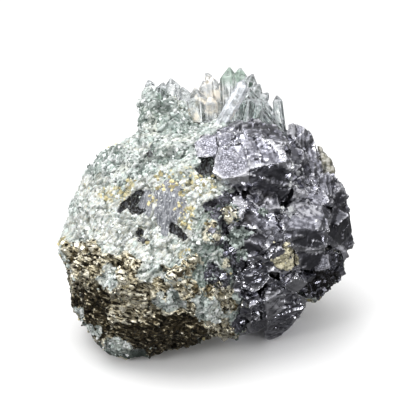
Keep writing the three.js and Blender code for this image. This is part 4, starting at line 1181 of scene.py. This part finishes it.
def rock_finish():
    """Chlorite, pyrite and the minerals between them."""
    finish = RockFinish("chlorite rock with pyrite")
    glint = finish.clouds(0.6 * MM, 5.0, finish.drawn_out(BRASS_WAY, BRASS_STRETCH))
    is_brass = (finish.mask("brass") + (finish.fine - 0.5) * 0.5).over(0.42, 0.58)
    is_lead = (finish.mask("lead") + (finish.fine - 0.5) * 0.6).over(0.4, 0.6)
    stone, is_grey = grey_and_black(finish, finish.spotted(finish.chlorite()))
    stone = finish.blend(is_lead, stone, leaden(finish))
    relief = finish.fine * 0.5 + finish.finest * 0.3 + finish.clouds(0.35 * MM) * 0.4
    relief = relief + is_brass * glint + finish.stripes * is_grey * 0.2
    shine = is_brass * 0.5 + is_lead * 0.35 - finish.finest * is_brass * 0.15
    return finish.done(Surface=finish.surface(
        Base_Color=finish.blend(is_brass, stone, pyrite(finish, glint)),
        Metallic=finish.grey * 0.3 + is_brass * 0.85 + is_lead * 0.9,
        Roughness=0.78 - shine,
        Normal=finish.bump(relief, ROCK_RELIEF),
    ))


coat(rock, rock_finish())
print("the rock's finish has", len(rock.data.materials[0].node_tree.nodes), "nodes")

# %% [markdown]
# Galena is lead-grey metal with a lavender cast. Fresh cleavage is bright, and where air has
# reached it long enough it goes dull and sooty; on the crust the dull patches also paint shade
# over shaded faces. Fine lines follow the cleavage of each face, with scratches and pits between
# them, and the bright and dull streaks along them are painted reflections. The same metal,
# without the masks of the crust, serves for splinters and grains.

# %% Finish: galena
GALENA_BRIGHT = paint(200, 200, 211)
EDGE_LIGHT = paint(236, 236, 242)
FLOW_WAY = (0.79, 0.23, 0.57)
CLEAVAGE_STRETCH = 0.16
GALENA_RELIEF = 0.2 * MM


def cleavage_lines(finish):
    """Fine lines along the cleavage of each face, in a fresh pattern every few millimetres."""
    grid = finish.add("ShaderNodeCombineXYZ", {}, {
        "X": finish.mask("along") * CLEAVAGE_STRETCH,
        "Y": finish.mask("over"),
        "Z": finish.cells(7 * MM, "Color"),
    })
    return finish.clouds(1.2 * MM, 2.5, grid)


def galena_finish(name, dullness=None):
    """Lead-grey metal, fresh or gone dull, with painted reflections. Without a dullness it
    follows the crust's masks, which add painted shade and highlights.
    """
    finish = Finish(name)
    dull = finish.mask("tarnish") if dullness is None else finish.clouds(4 * MM) * dullness
    flow = finish.clouds(0.9 * MM, 3.0, finish.drawn_out(FLOW_WAY, 5.0))
    if dullness is None:
        flow = flow * 0.4 + cleavage_lines(finish) * 0.6
    scratch = finish.clouds(0.3 * MM, 4.0, finish.drawn_out(FLOW_WAY, 2.0))
    pits = finish.cells(1.1 * MM).over(0.16, 0.08)
    # Dull patches: tarnish, and on the crust partly painted shade on shaded faces.
    worn = (dull + (finish.clouds(2.5 * MM) - 0.5) * 0.8).over(0.3, 0.8)
    even = finish.mask("calm")
    white = finish.mask("frosted") * flow.over(0.4, 0.56)
    border = (finish.mask("crusted") + (finish.clouds(1.5 * MM) - 0.6) * 1.6).over(0.4, 0.6)

    # Bright and dull streaks along the flow are painted reflections.
    colour = finish.blend(flow.over(0.44, 0.64), GALENA, GALENA_BRIGHT)
    colour = finish.blend(flow.over(0.46, 0.34) * 0.75, colour, GALENA_DULL)
    colour = finish.blend(worn * 0.85, colour, GALENA_DULL)
    colour = finish.blend(pits * 0.6, colour, SOOT)
    frost = finish.blend(finish.clouds(0.35 * MM).over(0.42, 0.73), GALENA_DULL, GALENA_BRIGHT)
    colour = finish.blend(even * 0.8, colour, frost)
    # Whitened patches: partly frost and partly painted highlight.
    colour = finish.blend(white * 0.8, colour, EDGE_LIGHT)
    # Painted shade blackens the valleys, and a painted highlight lightens the crests, less where dull.
    colour = finish.blend(finish.mask("valley") * 0.85, colour, SOOT)
    colour = finish.blend(finish.mask("crest") * (0.9 - worn * 0.4), colour, EDGE_LIGHT)
    colour = finish.blend(border, colour, finish.blend(finish.tone(0.4 * MM), DARK_GREEN, MINT))
    rough = 0.16 + worn * 0.14 + scratch * 0.1 + even * 0.18 + border * 0.4 + white * 0.25
    relief = flow * 1.3 + scratch * 0.25 - pits * 0.3
    return finish.done(Surface=finish.surface(
        Base_Color=colour,
        Metallic=1.0 - border,
        Roughness=rough,
        Normal=finish.bump(relief, GALENA_RELIEF),
    ))


coat(galena, galena_finish("galena"))
splinter_finish = galena_finish("galena of small crystals", 0.4)
coat(small_crystals["galena_splinters"], splinter_finish)
coat(small_crystals["lead_grains"], splinter_finish)
print("the galena's finish has", len(galena.data.materials[0].node_tree.nodes), "nodes")

# %% [markdown]
# The other small crystals keep to the colours of the ground they stand on. One recipe serves
# them all: two colours, picked by each crystal's own tone, a share of metal, a roughness, and a
# little fine relief.

# %% Finishes of the small crystals
DRUSE_GREY = paint(120, 122, 126)
KNOT_BROWN = paint(104, 100, 80)
KNOT_CREAM = paint(244, 240, 220)
CRUST_DULL = paint(142, 137, 112)
CRUST_PALE = paint(244, 238, 210)
CRYSTAL_RELIEF = 0.06 * MM
RECIPES = {
    "pyrite_grains": ("fresh pyrite", BRONZE, GOLD_LIGHT, 0.8, 0.15),
    "tarnished_grains": ("dull pyrite", SOOT, BROWN, 0.8, 0.3),
    "pale_rhombs": ("dolomite", MINT, SUGAR_WHITE, 0.0, 0.4),
    "chlorite_flakes": ("chlorite", DARK_GREEN, MINT, 0.0, 0.45),
    "yellow_grains": ("yellow mineral", OLIVE, YELLOW, 0.0, 0.45),
    "cream_knots": ("brassy cream", KNOT_BROWN, KNOT_CREAM, 0.25, 0.25),
    "pale_druse": ("pale druse", DRUSE_GREY, SUGAR_WHITE, 0.2, 0.25),
    "border_flakes": ("border chlorite", DARK_GREEN, MINT, 0.0, 0.45),
    "yellow_crust": ("pale crust", CRUST_DULL, CRUST_PALE, 0.0, 0.4),
}


def crystal_finish(name, first, second, metallic, roughness):
    """A plain mineral whose tone differs from crystal to crystal."""
    finish = Finish(name)
    mottle = finish.clouds(0.4 * MM)
    tone = (finish.mask("tone") + (mottle - 0.5) * 0.4).over(0.1, 0.9)
    return finish.done(Surface=finish.surface(
        Base_Color=finish.blend(tone, first, second),
        Metallic=metallic,
        Roughness=roughness + mottle * 0.2,
        Normal=finish.bump(mottle, CRYSTAL_RELIEF),
    ))


for name, recipe in RECIPES.items():
    coat(small_crystals[name], crystal_finish(*recipe))
    print(name, "are finished as", recipe[0])

# %% [markdown]
# Quartz is clear, so its look comes from the light that passes through it. It has plain
# transmission with the index of refraction of quartz and a faint grey-green absorption. Old
# healed cracks make cloudy veils in it, and those are mixed in as a white surface by a noise
# mask, stained mossy or rusty where it touches the rock. Striations run straight across every
# prism face.

# %% Finish: quartz
QUARTZ_BEND = 1.544
QUARTZ_RELIEF = 0.02 * MM
STRIATION = 0.4 * MM
STRIATION_WAY = (1.0, 0.0, 0.0)
VEIL = paint(226, 229, 233)
BLUE_VEIL = paint(236, 240, 245)
GREEN_VEIL = paint(172, 192, 179)
CREAM_VEIL = paint(240, 232, 218)
THREAD_GREY = paint(128, 134, 140)
PRISM_WAY = (0.475, 0.33, 0.816)
SMOKE = (0.36, 0.4, 0.4)
SMOKE_WAY = (0.6, -0.3, -0.74)


def quartz_finish(name, veil_colour, cloudiness, tint, density, threads=0.0):
    """Clear quartz with cloudy veils, and with grey threads along it where there are any."""
    finish = Finish(name)
    veils = finish.clouds(2.2 * MM, 4.0)
    lines = finish.clouds(STRIATION, 1.0, finish.drawn_out(STRIATION_WAY, 8.0))
    relief = finish.bump(lines, QUARTZ_RELIEF)
    streaks = finish.clouds(0.9 * MM, 3.0, finish.drawn_out(SMOKE_WAY, 6.0))
    smoke = finish.mask("smoky") * streaks.over(0.3, 0.6)
    clear = finish.surface(
        Base_Color=finish.blend(smoke, WHITE, SMOKE),
        Roughness=0.02,
        IOR=QUARTZ_BEND,
        Transmission_Weight=1.0,
        Normal=relief,
    )
    moss, rust = finish.mask("mossy"), finish.mask("rusty")
    stained = finish.blend(moss, veil_colour, GREEN_VEIL)
    stained = finish.blend(rust * veils.over(0.4, 0.6), stained, CREAM_VEIL)
    if threads:
        thread = finish.clouds(0.6 * MM, 2.0, finish.drawn_out(PRISM_WAY, 12.0)).over(0.48, 0.62)
        stained = finish.blend(thread * threads, stained, THREAD_GREY)
    cloudy = finish.surface(Base_Color=stained, Roughness=0.3, Normal=relief)
    amount = veils.over(0.66 - cloudiness * 0.4, 0.9 - cloudiness * 0.3)
    # The edges get more of the white surface, partly wear and partly painted highlight.
    amount = amount + finish.mask("edge") * 0.3 + moss * 0.3
    amount = amount + rust * veils.over(0.35, 0.6) * 0.5
    mixed = finish.add("ShaderNodeMixShader", {}, {0: amount, 1: clear, 2: cloudy})
    inside = finish.add("ShaderNodeVolumeAbsorption", {}, {"Color": tint, "Density": density})
    return finish.done(Surface=mixed, Volume=inside)


clear_quartz = quartz_finish("clear quartz", VEIL, 0.3, (0.55, 0.63, 0.60), 80.0)
white_quartz = quartz_finish("white quartz", BLUE_VEIL, 0.8, (0.7, 0.76, 0.8), 25.0, 0.4)
print("clear quartz bends light by", QUARTZ_BEND)

# %% [markdown]
# The CAD points have knife-sharp edges, and real ones are a little worn, so the sharp edges are
# bevelled. The faces are then cut up, to give the masks of the stains and of the whitened edges
# enough corners. The whitened edges are partly wear and partly a painted highlight. The prism
# that leans in front is free of stains.

# %% Quartz points
EDGE_SOFTNESS = 0.16 * MM
EDGE_WHITENED = 0.208 * MM
SHARP_EDGE = math.radians(20)
SAME_PLANE = 0.01
STAIN_GRAIN = 0.9 * MM
STAIN_RAGGEDNESS = 0.7
STAIN_OVALS = {
    "mossy": [(6, 36.3, 4.4, 3, 0), (-13.4, 30.8, 1.9, 1.4, 0)],
    "rusty": [(0.5, 30.3, 3.8, 4.6, 0), (6.8, 27.3, 1.9, 1.1, 0), (-4.1, 24.6, 1.9, 1.6, 0)],
    "smoky": [(13.7, 25.1, 8.7, 6.6, 0), (-15.8, 32.8, 1.9, 2.2, 0), (-12.1, 32.4, 1.8, 1.8, 0)],
}


def near_lines(points, lines):
    """1 for the points close to one of some straight lines, and 0 for the rest."""
    near = np.zeros(len(points))
    for start, end in np.array(lines):
        way = end - start
        part = np.clip((points - start) @ way / np.dot(way, way), 0, 1)
        away = np.linalg.norm(points - start - part[:, None] * way, axis=1)
        near = np.maximum(near, away < EDGE_WHITENED)
    return near


def cut_crystal(node):
    """A quartz node's mesh with softened edges and enough corners to hold its stains."""
    piece = new_piece(node.replace("quartz", "clear"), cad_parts[node].data.copy())
    bm = bmesh.new()
    bm.from_mesh(piece.data)
    bmesh.ops.remove_doubles(bm, verts=bm.verts, dist=EDGE_SOFTNESS / 10)
    bmesh.ops.dissolve_limit(bm, angle_limit=SAME_PLANE, verts=bm.verts, edges=bm.edges)
    sharp = [edge for edge in bm.edges if edge.calc_face_angle(0) > SHARP_EDGE]
    sharp_lines = [[tuple(vertex.co) for vertex in edge.verts] for edge in sharp]
    bmesh.ops.bevel(bm, geom=sharp, offset=EDGE_SOFTNESS, segments=1, affect="EDGES")
    bmesh.ops.triangulate(bm, faces=bm.faces)
    for _ in range(2):
        long = [edge for edge in bm.edges if edge.calc_length() > STAIN_GRAIN]
        bmesh.ops.subdivide_edges(bm, edges=long, cuts=2, use_grid_fill=True)
        bmesh.ops.triangulate(bm, faces=bm.faces)
    bm.to_mesh(piece.data)
    bm.free()
    points = read_corners(piece.data)
    seen = on_show_side(points) + stray(points) * STAIN_RAGGEDNESS
    share = 0 if "leaning" in node else 1
    stains = {name: patches(seen, ovals) * share for name, ovals in STAIN_OVALS.items()}
    keep(piece.data, edge=near_lines(points, sharp_lines), **stains)
    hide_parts(node)
    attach(piece, "root")
    return piece


for name in sorted(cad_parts):
    if name.startswith("quartz"):
        crystal = cut_crystal(name)
        coat(crystal, white_quartz if "leaning" in name else clear_quartz)
        print(crystal.name, "has", len(crystal.data.polygons), "faces")

# %% [markdown]
# The beads of calcite on the right edge are rounded and swell right up to the galena that they
# grew on. The CAD beads are faceted, so their fine skin is smoothed by its own bulges, blown up
# by a quarter of a millimetre and made slightly lumpy.

# %% Calcite beads
BEAD_MESH = 0.25 * MM
BEAD_SWELLING = 0.25 * MM
BEAD_LUMPS = 1.4 * MM
BEAD_ROUNDS = 8
CREASE_ROUNDS = 60

beads = fine_skin("calcite_beads", "glassy_beads", BEAD_MESH)
corners = read_corners(beads.data)
outward = read_corners(beads.data, "normal")
lumps = swell(corners, BEAD_LUMPS, 910)
swollen = BEAD_SWELLING * (1 + 0.5 * lumps) - bulge(beads.data, BEAD_ROUNDS)
move_corners(beads.data, corners + outward * swollen[:, None])
beads.data.shade_smooth()
keep(beads.data, creased=smooth(0.05 * MM, -0.1 * MM, bulge(beads.data, CREASE_ROUNDS)))
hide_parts("calcite_beads")
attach(beads, "root")
print("the beads have", len(beads.data.polygons), "quads")

# %% [markdown]
# Calcite is glassy and cloudy, and here a little brown. Painted shade darkens it in the
# creases where one bead meets the next.

# %% Finish: calcite
BEAD_BROWN = paint(84, 84, 76)
BEAD_OLIVE = paint(142, 138, 118)
BEAD_PALE = paint(216, 213, 202)
CALCITE_BEND = 1.6
CLEARNESS = 0.3
BEAD_RELIEF = 0.05 * MM


def bead_finish():
    """Pale calcite, cloudy and faintly see-through."""
    finish = Finish("calcite")
    haze = finish.clouds(1.1 * MM)
    olive = finish.blend(finish.clouds(2 * MM).over(0.4, 0.6), BEAD_BROWN, BEAD_OLIVE)
    colour = finish.blend(haze.over(0.42, 0.6), olive, BEAD_PALE)
    return finish.done(Surface=finish.surface(
        # painted shade in the creases between beads
        Base_Color=finish.blend(finish.mask("creased") * 0.8, colour, BEAD_BROWN),
        Roughness=0.16 + haze * 0.1,
        IOR=CALCITE_BEND,
        Transmission_Weight=CLEARNESS,
        Normal=finish.bump(haze, BEAD_RELIEF),
    ))


coat(beads, bead_finish())
print("calcite bends light by", CALCITE_BEND)

# %% [markdown]
# The specimen stands on a plain pale table. The table is hidden from the light that bounces
# about, because otherwise so white a sheet would light the metal from below.

# %% Table
TABLE_HALF = 2.0
PAPER_WHITES = ((0.96, 0.96, 0.96), (0.97, 0.97, 0.97))

table = new_piece("table", bpy.data.meshes.new("table"))
table.data.from_pydata(
    [(x * TABLE_HALF, y * TABLE_HALF, 0) for x, y in ((-1, -1), (1, -1), (1, 1), (-1, 1))],
    [], [(0, 1, 2, 3)])
table.visible_diffuse = False
table.visible_glossy = False
paper = Finish("pale paper")
paper_colour = paper.blend(paper.clouds(3 * MM), *PAPER_WHITES)
coat(table, paper.done(Surface=paper.surface(Base_Color=paper_colour, Roughness=0.9)))
table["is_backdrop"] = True
print("the table is", 2 * TABLE_HALF, "m wide")

# %% [markdown]
# The light is soft. One broad lamp overhead gives the bright tops and lets the undersides of
# the metal go dark, and smaller ones from both sides round the form. The sky is brightest
# overhead for the same reason. Each lamp has its place and size in metres, and its power in
# watts.

# %% Light
LAMPS = {
    "overhead": (Vector((-0.1, -0.05, 0.45)), 0.3, 0.95),
    "from the left": (Vector((-0.4, -0.4, 0.25)), 0.18, 1.5),
    "from the right": (Vector((0.32, -0.42, 0.12)), 0.1, 0.72),
}
HORIZON = 0.05
NEARLY_OVERHEAD = 0.8
SKY_LOW = 0.14
SKY_HIGH = 1.18

for name, (place, size, power) in LAMPS.items():
    light = bpy.data.lights.new(name, "AREA")
    light.size = size
    light.energy = power
    lamp = bpy.data.objects.new(name, light)
    lamp.location = place
    lamp.rotation_euler = (SHOW_MIDDLE - lamp.location).to_track_quat("-Z", "Y").to_euler()
    bpy.context.scene.collection.objects.link(lamp)

world = bpy.data.worlds.new("studio")
world.use_nodes = True
bpy.context.scene.world = world
sky = Nodes(world.node_tree)
direction = sky.add("ShaderNodeTexCoord", {}, {}, "Generated")
height = sky.add("ShaderNodeSeparateXYZ", {}, {"Vector": direction}, "Z")
background = world.node_tree.nodes["Background"]
sky.fill(background.inputs["Color"], WHITE)
sky.fill(background.inputs["Strength"], height.over(HORIZON, NEARLY_OVERHEAD, SKY_LOW, SKY_HIGH))
bpy.context.scene.view_settings.view_transform = "Standard"
print(len(LAMPS), "lamps and a sky up to", SKY_HIGH)

# %% [markdown]
# Every piece rides on the specimen's one body. The two fine skins stand for the CAD solids that
# they were made from, and the small crystals ride with them.

# %% Tie the pieces to the specimen
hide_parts("chlorite_rock")
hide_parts("galena_crust")
for piece in (rock, *on_rock):
    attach(piece, "root")
for piece in (galena, *on_galena):
    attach(piece, "root")

boxes = {"cad": cad_box, "visual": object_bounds()}
for name, box in boxes.items():
    print(name, [[round(value / MM, 1) for value in corner] for corner in box])
